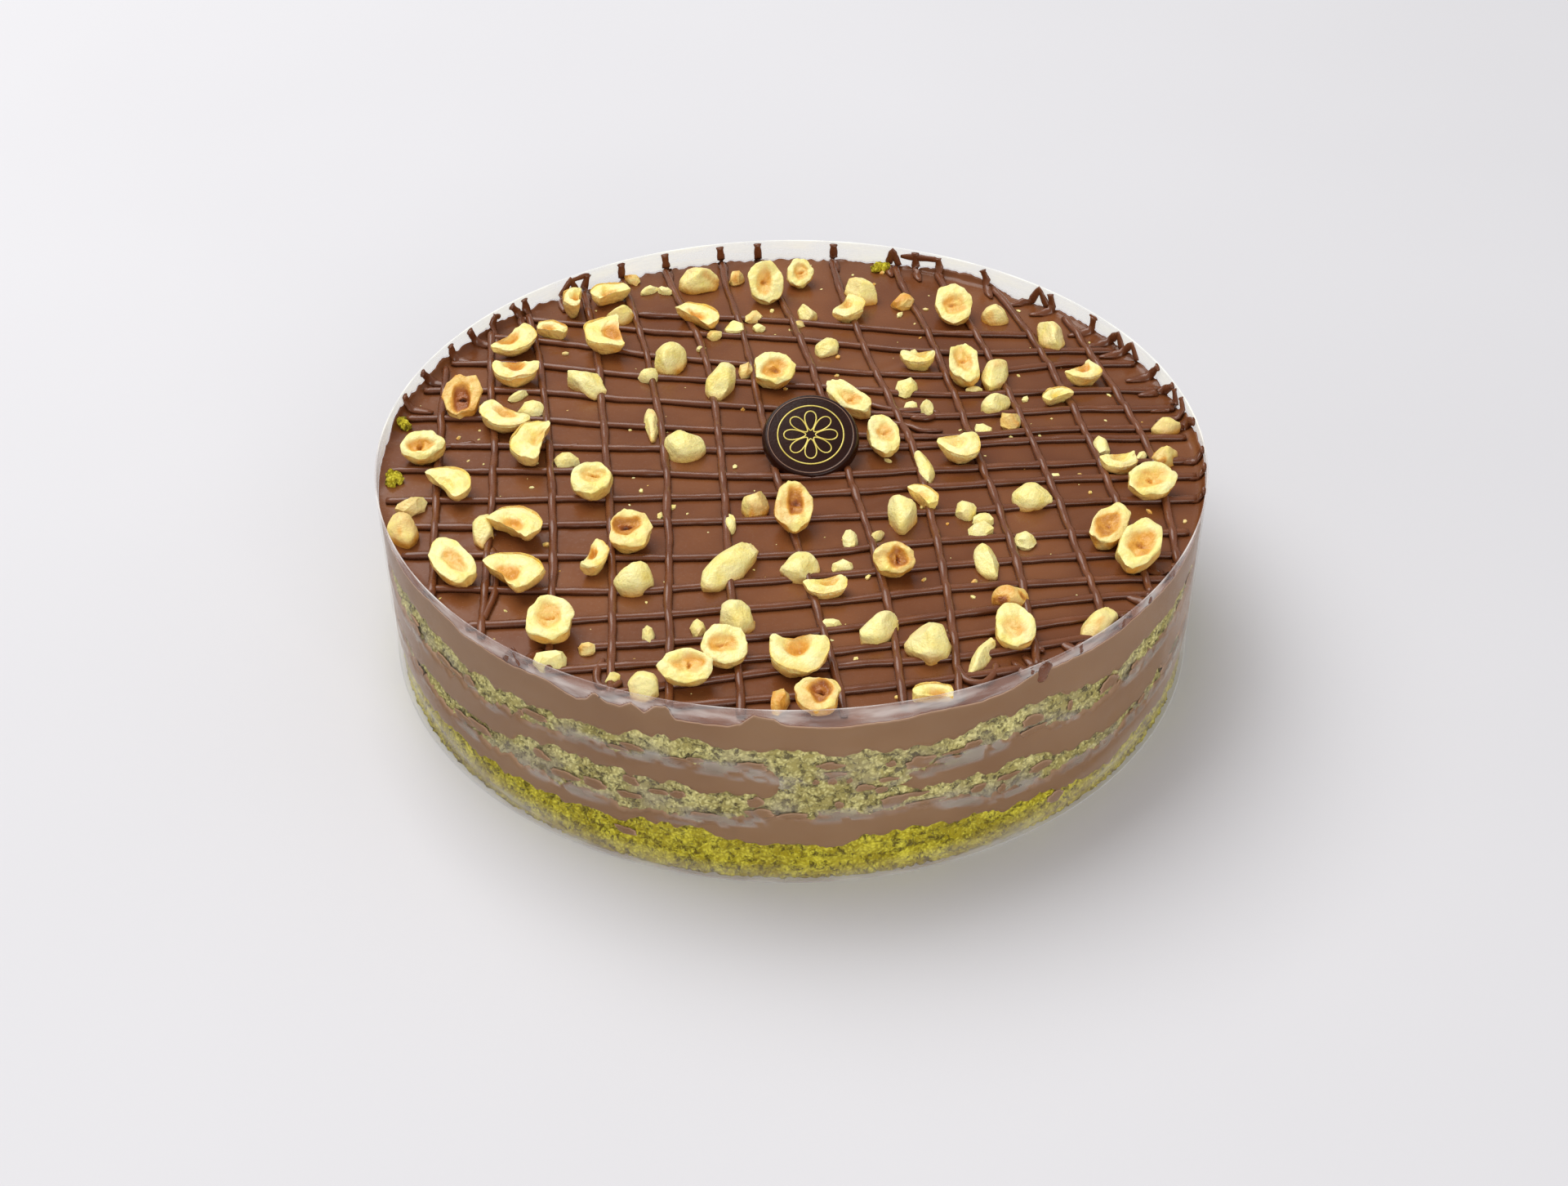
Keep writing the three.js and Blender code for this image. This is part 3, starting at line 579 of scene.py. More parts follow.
# ---------------------------------------------------------------- shapes

def eased(value):
    """0 to 1, with a soft start and end, and held outside."""
    value = min(max(value, 0), 1)
    return value * value * (3 - 2 * value)


def between(first, second, share):
    return first + (second - first) * share


def ripple(x, y, z, size, detail=0):
    """Smooth noise between about -1 and 1, with bumps of the given size."""
    place = Vector((x, y, z)) / size
    if detail:
        return noise.fractal(place, 0.9, 2.1, detail)
    return noise.noise(place)


def at_azimuth(azimuth, radius):
    """x and y of a point that many degrees round from +X."""
    turn = math.radians(azimuth)
    return radius * math.cos(turn), radius * math.sin(turn)


def azimuth_of(x, y):
    return math.degrees(math.atan2(y, x))


def nearness(distance, reach):
    """1 at an edge, and 0 from a reach away."""
    return 1 - min(distance / reach, 1)


def cream_top_at(y):
    return CREAM_LEVEL - CREAM_FALL * y


def spread_at(x, y):
    """The cream's top with its soft waves and the marks of the palette knife."""
    waves = 0.3 * ripple(x, y, 0, 34) + 0.12 * ripple(x, y, 7, 13)
    along, across = 0.8 * x + 0.6 * y, -0.6 * x + 0.8 * y
    knife = ripple(along / 7, across, 20, 3.2)
    worked = eased(ripple(x, y, 40, 30) * 2.2 + 0.1)
    return cream_top_at(y) + waves + 0.24 * worked * knife


def contact_at(azimuth):
    """Height of the line where the top cream leaves the film."""
    for (start, low), (end, high) in zip(CONTACT_LINE, CONTACT_LINE[1:]):
        if azimuth <= end:
            height = between(low, high, (azimuth - start) / (end - start))
            break
    x, y = at_azimuth(azimuth, COLLAR_RADIUS)
    behind = eased((y + 40) / 80)
    height += between(0.3, 0.9, behind) * ripple(x, y, 3, 4, 3)
    return height + between(0.2, 0.5, behind) * ripple(x, y, 9, 1.6)


def waved(values, share):
    """The smooth curve through evenly spaced values, read at a share of its span."""
    place = min(max(share, 0), 1) * (len(values) - 1)
    i = min(int(place), len(values) - 2)
    t = place - i
    before, start, end, after = (values[min(max(i + k, 0), len(values) - 1)] for k in (-1, 0, 1, 2))
    slope_in, slope_out = (end - before) / 2, (after - start) / 2
    return ((2 * start - 2 * end + slope_in + slope_out) * t ** 3
            + (3 * end - 3 * start - 2 * slope_in - slope_out) * t ** 2 + slope_in * t + start)


def seam_at(seam, x, y):
    """Height of a seam: its own swing at the wall, its mean further in."""
    values = SEAMS[seam]
    mean = sum(values) / len(values)
    place = (azimuth_of(x, y) + 180) / SEAM_STEP
    i = math.floor(place)
    wall = between(values[i % len(values)], values[(i + 1) % len(values)], eased(place - i))
    return between(mean, wall, eased((math.hypot(x, y) - LEVEL_RADIUS) / (SPONGE_RADIUS - LEVEL_RADIUS)))


def bridged(seam, x, y):
    """How far the top sponge reaches over the cream below it at this place, 0 to 1."""
    if seam != "top_sponge" or y > 0:
        return 0
    azimuth = azimuth_of(x, y) + 2.5 * ripple(x, y, 8, 6)
    rising, full, falling, over = BRIDGE
    return eased((azimuth - rising) / (full - rising)) * (1 - eased((azimuth - falling) / (over - falling)))


def new_shape(*measures):
    """An empty shape whose vertices carry the named measures for its material."""
    shape = bmesh.new()
    for name in measures:
        shape.verts.layers.float.new(name)
    return shape


def set_measure(shape, vert, name, value):
    vert[shape.verts.layers.float[name]] = value


def made_object(name, shape, materials):
    """Brings a shape to metres and puts it in the scene."""
    bmesh.ops.scale(shape, vec=(MM, MM, MM), verts=shape.verts)
    mesh = bpy.data.meshes.new(name)
    shape.to_mesh(mesh)
    shape.free()
    for material in materials:
        mesh.materials.append(material)
    made = bpy.data.objects.new(name, mesh)
    scene.collection.objects.link(made)
    return made


def finish_piece(name, shape, materials, replaced=(), crisp=0):
    """Makes a shape a piece of the cake: smooth, or creased where it turns more than crisp degrees."""
    piece = made_object(name, shape, materials)
    mesh = piece.data
    mesh.polygons.foreach_set("use_smooth", [True] * len(mesh.polygons))
    if crisp:
        mesh.set_sharp_from_angle(angle=math.radians(crisp))
    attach(piece, "root")
    if replaced:
        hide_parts(*replaced)


# Points nearer to each other than this are one
MERGED = 1e-4


def turned(shape, profile, steps, closed=False):
    """A body turned about +Z from (radius, height) pairs: a grid rolled up round the axis."""
    rows = [*profile, profile[0]] if closed else profile
    last = len(rows) - 1
    made = bmesh.ops.create_grid(shape, x_segments=steps, y_segments=last, size=0.5)
    for vert in made["verts"]:
        turn = FULL_TURN * (vert.co.x + 0.5)
        radius, height = rows[round((vert.co.y + 0.5) * last)]
        vert.co = (radius * math.cos(turn), radius * math.sin(turn), height)
    bmesh.ops.remove_doubles(shape, verts=made["verts"], dist=MERGED)
    bmesh.ops.recalc_face_normals(shape, faces=shape.faces)


def gathered(shape, part):
    """Adds a part made on its own to a piece."""
    carrier = bpy.data.meshes.new("part")
    part.to_mesh(carrier)
    part.free()
    shape.from_mesh(carrier)
    bpy.data.meshes.remove(carrier)


def rolled(shape, path, radii, sides, flatness, outward=None, shut=True):
    """A strand along a path: a grid rolled up round it. It is flattened along +Z, or along the
    directions given, and its ends are drawn shut."""
    last = len(path) - 1
    spare = 1 if shut else 0
    made = bmesh.ops.create_grid(shape, x_segments=last + 2 * spare, y_segments=sides, size=0.5)
    for vert in made["verts"]:
        step = round((vert.co.x + 0.5) * (last + 2 * spare)) - spare
        i = min(max(step, 0), last)
        reach = radii[i] if step == i else 0
        turn = FULL_TURN * (vert.co.y + 0.5)
        ahead = (path[min(i + 1, last)] - path[max(i - 1, 0)]).normalized()
        across = ahead.cross(outward[i] if outward else UP).normalized()
        over = across.cross(ahead)
        vert.co = path[i] + across * (reach * math.cos(turn)) + over * (reach * flatness * math.sin(turn))
        # On the lattice, the edge measure runs along each line's lower side, for painted shade at its foot
        if "edge" in shape.verts.layers.float:
            set_measure(shape, vert, "edge", eased(0.7 - 1.5 * math.sin(turn)))
    bmesh.ops.remove_doubles(shape, verts=made["verts"], dist=MERGED)


# ---------------------------------------------------------------- sponge and cream layers

ROUND_STEPS = 900
# Rows of a layer's wall, as shares of its height
SPONGE_ROWS = 20
CREAM_ROWS = (0, 0.02, 0.06, 0.14, 0.3, 0.5, 0.7, 0.86, 0.94, 0.98, 1)
# Nearer to the axis than this lies only the middle of a layer
MIDDLE = 1
# How far a sponge goes on behind the edge of the cream over and under it
SPONGE_OVERLAP = 1.6
# How deep a sponge's wall is torn where its noise is 1, and the most that it ever is
TORN_DEPTH = 1.2
TORN_MOST = 1.7
# A pressed cream is never thinner than this, and draws in by a depth within a reach of its edge
CREAM_LEAST = 1.5
EDGE_DEPTH = 1.1
EDGE_REACH = 0.8
# Shallow hollows in a pressed cream's wall
HOLLOW_DEPTH = 0.5
# Smears of cream over and under a layer: how far from its seam, half width, half height, half depth
SMEAR_REACH = (0.5, 4.5)
SMEAR_WIDTH = (0.8, 5.0)
SMEAR_TALL = (0.5, 1.8)
SMEAR_DEPTH = 0.5


def ragged(x, y, seam):
    """How far a cream's edge strays from its seam."""
    offset = 11 * len(seam)
    return (1.9 * ripple(x, y, offset, 8) + 1.4 * ripple(x, y, offset + 5, 3.2, 3)
            + 0.7 * ripple(x, y, offset + 9, 1.6))


def drawn_in(from_edge):
    """How far a pressed cream stands back from the film near its edge."""
    return EDGE_DEPTH * nearness(from_edge, EDGE_REACH) ** 2


def sponge_layer(name, under, over, finish):
    """A sponge between two seams, or from the bottom up to one: level inside, torn at its wall."""
    shape = new_shape("share")
    rows = [(SPONGE_RADIUS, i / SPONGE_ROWS) for i in range(SPONGE_ROWS + 1)]
    turned(shape, [(0, 0), *rows, (0, 1)], ROUND_STEPS)
    for vert in shape.verts:
        x, y, share = vert.co
        low = seam_at(under, x, y) - SPONGE_OVERLAP - BRIDGE_DEPTH * bridged(under, x, y) if under else 0
        high = seam_at(over, x, y) + SPONGE_OVERLAP
        set_measure(shape, vert, "share", share)
        vert.co.z = between(low, high, share)
        if math.hypot(x, y) > MIDDLE:
            torn = abs(ripple(x, y, vert.co.z, 2.6, 3)) + 0.7 * abs(ripple(x, y, vert.co.z, 1.2))
            vert.co.xy *= 1 - min(TORN_DEPTH * torn, TORN_MOST) / SPONGE_RADIUS
            if 0 < share < 1:
                vert.co.z += 0.35 * ripple(x, y, vert.co.z + 30, 1.3)
    finish_piece(name, shape, [finish], [name_of_node(name)])


def name_of_node(name):
    """The solid that a layer stands for."""
    return name.removeprefix("baked_").removeprefix("soft_")


def smear(azimuth, height, width, tall, seed):
    """A flat patch of cream pressed against the film."""
    patch = new_shape("edge")
    made = bmesh.ops.create_uvsphere(patch, u_segments=20, v_segments=10, radius=1)
    turn = math.radians(azimuth)
    for vert in made["verts"]:
        along, out, up = vert.co
        far = max(math.hypot(along, up), 0.01)
        side, rise = along / far, up / far
        wobble = 1 + 0.6 * ripple(side * 0.9, rise * 0.9, seed * 1.7, 1)
        wobble += 0.35 * ripple(side * 2.4, rise * 2.4, seed, 1)
        around = turn + along * width * wobble / PRESSED_RADIUS
        radius = PRESSED_RADIUS - SMEAR_DEPTH + SMEAR_DEPTH * out
        # Painted highlight round the smear's rim
        set_measure(patch, vert, "edge", 0.4 * eased(far * 4 - 3))
        vert.co = (radius * math.cos(around), radius * math.sin(around), height + up * tall * wobble)
    return patch


def cream_layer(name, under, over, smears, upward, seed):
    """A cream pressed against the film between two seams, with a ragged edge and smears beyond it,
    of which a share lies over it."""
    shape = new_shape("edge")
    rows = [(PRESSED_RADIUS, row) for row in CREAM_ROWS]
    turned(shape, [(0, 0), *rows, (0, 1)], ROUND_STEPS)
    for vert in shape.verts:
        x, y, share = vert.co
        low = seam_at(under, x, y) + ragged(x, y, under)
        high = max(seam_at(over, x, y) + ragged(x, y, over), low + CREAM_LEAST)
        vert.co.z = between(low, high, share)
        if math.hypot(x, y) > MIDDLE:
            from_edge = min(share, 1 - share) * (high - low)
            hollow = HOLLOW_DEPTH * eased(ripple(x, y, vert.co.z + 3, 6) * 3 - 1.1)
            hollow += BRIDGE_HOLLOW * bridged(over, x, y)
            vert.co.xy *= 1 - (drawn_in(from_edge) + hollow) / PRESSED_RADIUS
            # Painted highlight near the layer's edges
            set_measure(shape, vert, "edge", 0.45 * nearness(from_edge, 0.5))
    chance = random.Random(seed)
    for i in range(smears):
        azimuth = chance.uniform(0, 360)
        x, y = at_azimuth(azimuth, PRESSED_RADIUS)
        seam, side = (over, 1) if chance.random() < upward else (under, -1)
        height = seam_at(seam, x, y) + side * chance.uniform(*SMEAR_REACH)
        gathered(shape, smear(azimuth, height, chance.uniform(*SMEAR_WIDTH), chance.uniform(*SMEAR_TALL), i))
    if over == "top_sponge":
        for i, (azimuth, height, width, tall) in enumerate(CREAM_ISLANDS):
            gathered(shape, smear(azimuth, height, width, tall, i + 0.5))
    finish_piece(name, shape, [PRESSED_CREAM], [name_of_node(name)])


sponge_layer("baked_sponge_bottom", None, "low_cream", LOW_SPONGE)
cream_layer("soft_cream_low", "low_cream", "middle_sponge", smears=40, upward=0.9, seed=5)
sponge_layer("baked_sponge_middle", "middle_sponge", "middle_cream", SPONGE)
cream_layer("soft_cream_middle", "middle_cream", "top_sponge", smears=90, upward=0.6, seed=8)
sponge_layer("baked_sponge_top", "top_sponge", "top_cream", SPONGE)


# ---------------------------------------------------------------- top cream

TOP_RINGS = 92
TOP_WALL_ROWS = (0, 0.03, 0.08, 0.2, 0.4, 0.6, 0.8, 0.92, 0.97, 1)
# A level of the profile above 1 is on the cream's top
ON_TOP = 2
BANK_WIDTH = 3.0


def surface_at(x, y):
    """The cream's top, which banks up against the film at its edge."""
    top = spread_at(x, y)
    bank = min(1 - (PRESSED_RADIUS - math.hypot(x, y)) / BANK_WIDTH, 1)
    if bank <= 0:
        return top
    return between(top, contact_at(azimuth_of(x, y)), bank ** 3)


def spread_top():
    """The top layer: pressed against the film at its wall, spread with a knife on top."""
    shape = new_shape("edge")
    wall = [(PRESSED_RADIUS, row) for row in TOP_WALL_ROWS]
    rings = [(PRESSED_RADIUS * (1 - i / TOP_RINGS), ON_TOP) for i in range(1, TOP_RINGS)]
    near_wall = [(PRESSED_RADIUS - step, ON_TOP) for step in (0.3, 0.7)]
    turned(shape, [(0, 0), *wall, *near_wall, *rings, (0, ON_TOP)], ROUND_STEPS)
    for face in shape.faces:
        face.material_index = 1 if max(vert.co.z for vert in face.verts) > 1 else 0
    for vert in shape.verts:
        x, y, level = vert.co
        if level > 1:
            vert.co.z = surface_at(x, y)
        elif math.hypot(x, y) > MIDDLE:
            low = seam_at("top_cream", x, y) + ragged(x, y, "top_cream")
            high = contact_at(azimuth_of(x, y))
            vert.co.z = between(low, high, level)
            from_low = level * (high - low)
            vert.co.xy *= 1 - drawn_in(from_low) / PRESSED_RADIUS
            from_edge = min(from_low, high - vert.co.z)
            # Painted highlight near the contact line and the lower edge
            set_measure(shape, vert, "edge", 0.8 * nearness(from_edge, 0.45))
        else:
            vert.co.z = seam_at("top_cream", 0, 0)
    finish_piece("spread_cream_top", shape, [PRESSED_CREAM, SPREAD_CREAM], ["cream_top"])


spread_top()


# ---------------------------------------------------------------- piped lattice

LINE_STEP = 1.6
# A crosswise line that comes this near the rim runs up to it
NEAR_RIM = 14
# How high the middle of a line lies, and how much more a lengthwise one does where it crosses
LINE_RISE = 0.5
CROSSING_RISE = 0.7
STROKE_RISE = 0.7
# How thick a line starts: most of its size at the film, and a drawn-out end on the cream
START_AT_FILM = 0.85
START_ON_CREAM = 0.4


def piped(shape, points, radius, rise, sides, flatness, seed):
    """A line of chocolate laid on the cream through points in plan."""
    path, radii = [], []
    last = len(points) - 1
    for i, (x, y) in enumerate(points):
        swell = 1 + 0.2 * ripple(x, y, seed, 8) + 0.14 * ripple(x, y, seed, 2.6)
        start = START_AT_FILM if math.hypot(x, y) > LINE_REACH - 3 else START_ON_CREAM
        wiggle = 0.4 * ripple(x, y, seed + 50, 14) + 0.14 * ripple(x, y, seed + 60, 3.5)
        path.append(Vector((x + wiggle, y + wiggle, surface_at(x, y) + rise(x, y))))
        radii.append(radius * swell * min(start + 0.3 * min(i, last - i), 1))
    rolled(shape, path, radii, sides, flatness)


def crosswise_y(values, x):
    return waved(values, (x + CROSSWISE_SPAN) / (2 * CROSSWISE_SPAN))


def lengthwise_x(values, y):
    return waved(values, (LENGTHWISE_SPAN - y) / (2 * LENGTHWISE_SPAN))


def along_line(start, end, point_at):
    """Points of a line, a step apart, as far as the cream goes."""
    count = max(int(abs(end - start) / LINE_STEP), 4)
    points = [point_at(between(start, end, i / count)) for i in range(count + 1)]
    return [point for point in points if math.hypot(*point) < LINE_REACH]


def over_crossings(x, y):
    """How high a lengthwise line lies, lifted where it crosses another."""
    nearest = min(abs(crosswise_y(row, x) - y) for _, _, row in CROSSWISE_LINES)
    return LINE_RISE + CROSSING_RISE * math.exp(-(nearest / 2.2) ** 2)


def lattice():
    """The crosswise lines, the lengthwise ones over them, and the loose strokes."""
    shape = new_shape("edge")
    for i, (start, end, values) in enumerate(CROSSWISE_LINES):
        left, right = (math.sqrt(LINE_REACH ** 2 - values[k] ** 2) for k in (0, -1))
        start = -COLLAR_RADIUS if -start > left - NEAR_RIM else start
        end = COLLAR_RADIUS if end > right - NEAR_RIM else end
        points = along_line(start, end, lambda x: (x, crosswise_y(values, x)))
        piped(shape, points, radius=1.3, rise=lambda x, y: LINE_RISE, sides=11, flatness=0.85, seed=i * 3.1)
    for i, values in enumerate(LENGTHWISE_LINES):
        points = along_line(-COLLAR_RADIUS, COLLAR_RADIUS, lambda y: (lengthwise_x(values, y), y))
        piped(shape, points, radius=1.22, rise=over_crossings, sides=10, flatness=1.0, seed=70 + i * 3.7)
    for i, stroke in enumerate(LOOSE_STROKES):
        xs, ys = zip(*stroke)
        count = 6 * len(stroke)
        points = [(waved(xs, k / count), waved(ys, k / count)) for k in range(count + 1)]
        piped(shape, points, radius=1.05, rise=lambda x, y: STROKE_RISE, sides=9, flatness=0.9, seed=130 + i)
    finish_piece("piped_lattice", shape, [PIPED_CHOCOLATE])


# A strand on the film: how far its middle stands off, how high it goes, its points each way
STRAND_OFF = 0.55
STRAND_TOPS = (59.0, 59.5)
STRAND_STEPS = 6
STRAND_SIDES = 9
STRAND_FLATNESS = 0.5
STRAND_SEED = 31
SMEAR_OFF = 0.5


def on_film(azimuth, height, radius):
    return Vector((*at_azimuth(azimuth, radius), height))


def off_film(place):
    """The direction from the film to the axis."""
    return -Vector((place.x, place.y, 0)).normalized()


def run_in(azimuth):
    """Points on the cream that lead a line to the film, from the side it comes from."""
    foot = on_film(azimuth, 0, LINE_REACH - 0.6)
    if foot.y < 0:
        back = -foot.normalized()
    elif 52 < azimuth < 145:
        back = Vector((0.2, -1, 0))
    else:
        back = Vector((math.copysign(1, -foot.x), -0.25, 0))
    points = [foot + back * reach for reach in (7, 5.2, 3.4, 1.7, 0)]
    return [Vector((point.x, point.y, surface_at(point.x, point.y) + LINE_RISE)) for point in points]


def strand(shape, azimuths, chance):
    """A line's end that hangs on the inside of the film: up to the rim, and perhaps down again."""
    path = run_in(azimuths[0])
    outward = [UP, UP, UP, UP - path[3].normalized(), -path[4].normalized()]
    radii = [0.6, 1.1, 1.5, 1.7, 1.65]
    rim = chance.uniform(*STRAND_TOPS)
    for k, (start, end) in enumerate(zip(azimuths, azimuths[1:])):
        low = contact_at(start if k == 0 else end) + 0.4
        heights = (low, rim) if k == 0 else (rim, low)
        for i in range(1, STRAND_STEPS + 1):
            share = i / STRAND_STEPS
            place = on_film(between(start, end, share), between(*heights, share), FILM_INSIDE - STRAND_OFF)
            path.append(place)
            outward.append(off_film(place))
            thick = 1 + 0.3 * ripple(*place, 1.8)
            radii.append((between(1.55, 1.0, share) if k == 0 else between(1.0, 1.35, share)) * thick)
    if len(azimuths) == 2:
        radii[-1] = 1.4
    rolled(shape, path, radii, STRAND_SIDES, STRAND_FLATNESS, outward)


def rim_smear(shape, start, end, low, high, width):
    """Chocolate drawn along the film just under its rim."""
    count = 10
    path = [on_film(between(start, end, i / count), between(low, high, i / count), FILM_INSIDE - SMEAR_OFF)
            for i in range(count + 1)]
    outward = [off_film(place) for place in path]
    radii = [width * (1 + 0.35 * ripple(*place, 2.2)) * min(0.5 + 0.3 * min(i, count - i), 1)
             for i, place in enumerate(path)]
    rolled(shape, path, radii, STRAND_SIDES, STRAND_FLATNESS, outward)


def strands():
    """All that hangs on the inside of the film."""
    chance = random.Random(STRAND_SEED)
    shape = new_shape()
    for azimuths in STRANDS:
        strand(shape, azimuths, chance)
    for row in RIM_SMEARS:
        rim_smear(shape, *row)
    finish_piece("climbing_strands", shape, [PIPED_CHOCOLATE])


lattice()
strands()


# ---------------------------------------------------------------- hazelnuts

# A nut is pressed this far into the cream, and made taller by a share of it
NUT_SUNK = 0.8
TALLER = 0.4
CHIP_SUNK = 0.25
# Angles from which a crease stays sharp
NUT_CREASE = 42
CHIP_CREASE = 35
# Every piece's shape has its own seed, counted on from these for the smaller ones
SMALL_SEEDS = 60
CHIP_SEEDS = 100
GREEN_SEEDS = 300
DAB_SEED = 5
# Fine crumbs strewn over the top
CRUMB_COUNT = 230
CRUMB_REACH = 116
CRUMB_SEED = 12
# A unit chip is cut flat this far under its middle
CHIP_FOOT = 0.4


def crag(point, seed, amount):
    """Moves a point of a unit shape a little, as a broken or shrunken nut is uneven."""
    place = point * 1.4 + Vector((seed * 7.3, seed * 3.1, seed * 5.7))
    return (point + noise.noise_vector(place) * amount + noise.noise_vector(place * 2.7) * amount * 0.4
            + noise.noise_vector(place * 6.3) * amount * 0.16)


def broken(point, cuts):
    """Pushes a point back to each flat break that it lies beyond."""
    for facing_out, reach in cuts:
        beyond = point.dot(facing_out) - reach
        if beyond > 0:
            point = point - facing_out * (beyond * 0.92)
    return point


def breaks(chance, count, nearest, furthest, rise):
    """Flat breaks round a piece, at random distances from its middle."""
    cuts = []
    for i in range(count):
        turn = FULL_TURN * (i + chance.uniform(-0.3, 0.3)) / count
        out = Vector((math.cos(turn), math.sin(turn), chance.uniform(-rise, rise))).normalized()
        cuts.append((out, chance.uniform(nearest, furthest)))
    return cuts


def half_nut(toast, hollow, seed):
    """Half a kernel, its cut face up: a pale border round a shallow tan dish with a crack in it."""
    shape = new_shape("toast")
    chance = random.Random(seed)
    cuts = breaks(chance, 7, 0.8, 0.98, 0.15)
    bend = chance.uniform(0.85, 1.2)
    dish_radius = chance.uniform(0.52, 0.64)
    slit = chance.uniform(1.8, 3.6)
    shift_x, shift_y = chance.uniform(-0.14, 0.14), chance.uniform(-0.12, 0.12)
    for vert in bmesh.ops.create_uvsphere(shape, u_segments=44, v_segments=34, radius=1)["verts"]:
        x, y, z = vert.co
        spread = min(math.hypot(x, y), 1)
        # Below the cut face: the toast, on a base of painted shade for the lower side
        toast_and_shade = 0.23 + 0.14 * toast + 0.18 * ripple(x, y, z + seed, 0.5)
        if z > 0:
            across, along = (x - shift_x) * bend, (y - shift_y) / bend
            reach = math.hypot(across, along) / dish_radius + 0.22 * ripple(x, y, seed + 3, 0.5)
            dish = 1 - eased((reach - 0.5) / 0.65)
            lip = math.exp(-((reach - 0.8) / 0.22) ** 2)
            crack = hollow * (1 - eased(math.hypot(across * slit, along) / 0.36))
            z = 0.1 * (1 - spread ** 8) - (0.12 + 0.14 * hollow) * dish - 0.32 * crack
            z += 0.06 * ripple(x, y, seed, 0.3)
            toast_and_shade = dish * (0.12 + 0.4 * toast) + lip * (0.04 + 0.16 * toast) + crack * (0.25 + 0.6 * toast)
            toast_and_shade += max(toast - 0.6, 0) * 0.7 + 0.1 * ripple(x, y, seed + 3, 0.3)
        set_measure(shape, vert, "toast", max(toast_and_shade, 0))
        vert.co = crag(broken(Vector((x, y, z)), cuts), seed, 0.11)
    return shape


def round_nut(toast, seed):
    """A chunk of kernel: pale, with flat breaks and softened corners."""
    shape = new_shape("toast")
    chance = random.Random(seed)
    cuts = breaks(chance, 5, 0.72, 0.97, 0.3)
    for _ in range(3):
        turn = chance.uniform(0, FULL_TURN)
        up = chance.uniform(0.5, 1.3)
        out = Vector((math.cos(turn), math.sin(turn), up)).normalized()
        cuts.append((out, chance.uniform(0.66, 0.88)))
    for vert in bmesh.ops.create_uvsphere(shape, u_segments=36, v_segments=24, radius=1)["verts"]:
        x, y, z = vert.co
        patch = eased(ripple(x, y, z + seed * 3, 0.8) * 1.6 - 0.2)
        # Toast in patches, and painted shade darkening the lower sides
        set_measure(shape, vert, "toast", toast * (0.3 + 0.7 * patch) + 0.32 * eased(0.55 - z))
        vert.co = crag(broken(Vector((x, y, max(z, -0.35))), cuts), seed, 0.08)
    return shape


def sliced_nut(toast, seed):
    """Part of a half: one side round, the other broken straight through the tan hollow."""
    shape = new_shape("toast")
    chance = random.Random(seed)
    cuts = breaks(chance, 6, 0.86, 1.0, 0.2)
    middle = chance.uniform(-0.2, 0.2)
    for vert in bmesh.ops.create_uvsphere(shape, u_segments=44, v_segments=30, radius=1)["verts"]:
        x, y, z = vert.co
        spread = min(math.hypot(x, y), 1)
        inset = 0.42 * (1 - x * x)
        deep = y * (0.5 if y < 0 else 1 - inset) + inset - 0.2
        scoop = math.exp(-((x - middle) / 0.5) ** 2 - ((y + 0.5) / 0.55) ** 2)
        if z > 0:
            z = 0.5 + 0.14 * (1 - spread ** 4) - 0.16 * y - 0.55 * scoop
            z += 0.06 * ripple(x, y, seed, 0.3)
            toast_and_shade = eased(scoop * 1.7 - 0.2) * (0.12 + 0.7 * toast) + 0.1 * ripple(x, y, seed + 3, 0.3)
        else:
            z = 0.5 + 0.95 * z
            # Underneath: the toast, on a base of painted shade for the lower side
            toast_and_shade = 0.23 + 0.12 * toast + (0.3 * scoop * toast if y < 0 else 0)
        set_measure(shape, vert, "toast", max(toast_and_shade, 0))
        vert.co = crag(broken(Vector((x, deep, z)), cuts), seed, 0.1)
    return shape


def placed_nut(kind, size, turn, lean, toast, hollow, seed, middle, foot):
    """Makes one piece and sets it down with its lowest point at the given height."""
    if kind == "half":
        shape = half_nut(toast, hollow, seed)
    elif kind == "dome":
        shape = round_nut(toast, seed)
    else:
        shape = sliced_nut(toast, seed)
    lows = [min(vert.co[k] for vert in shape.verts) for k in range(3)]
    highs = [max(vert.co[k] for vert in shape.verts) for k in range(3)]
    turning = Euler((math.radians(lean), 0, 0)).to_matrix() @ Euler((0, 0, math.radians(turn))).to_matrix()
    for vert in shape.verts:
        shares = [(vert.co[k] - lows[k]) / (highs[k] - lows[k]) - 0.5 for k in range(3)]
        vert.co = turning @ Vector([share * side for share, side in zip(shares, size)])
    lowest = min(vert.co.z for vert in shape.verts)
    for vert in shape.verts:
        vert.co += Vector((middle[0], middle[1], foot - lowest))
    return shape


def hazelnuts():
    """The larger pieces, each on the place of its solid."""
    for i, (kind, length, width, height, turn, lean, toast, hollow) in enumerate(HAZELNUTS, 1):
        node = f"hazelnut_{i:02d}"
        low, high = (Vector(corner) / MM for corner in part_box(node))
        middle = (low + high) / 2
        size = (length, width, height + TALLER * NUT_SUNK)
        shape = placed_nut(kind, size, turn, lean, toast, hollow, i, middle, low.z - NUT_SUNK)
        finish_piece(f"split_{node}", shape, [NUT], [node], crisp=NUT_CREASE)


def small_pieces():
    shape = new_shape("toast")
    for i, (kind, x, y, length, width, height, turn, toast) in enumerate(SMALL_PIECES):
        size = (length, width, height)
        foot = spread_at(x, y) - NUT_SUNK
        piece = placed_nut(kind, size, turn, lean=0, toast=toast, hollow=0.4, seed=SMALL_SEEDS + i,
                           middle=(x, y), foot=foot)
        gathered(shape, piece)
    finish_piece("small_hazelnut_pieces", shape, [NUT], crisp=NUT_CREASE)


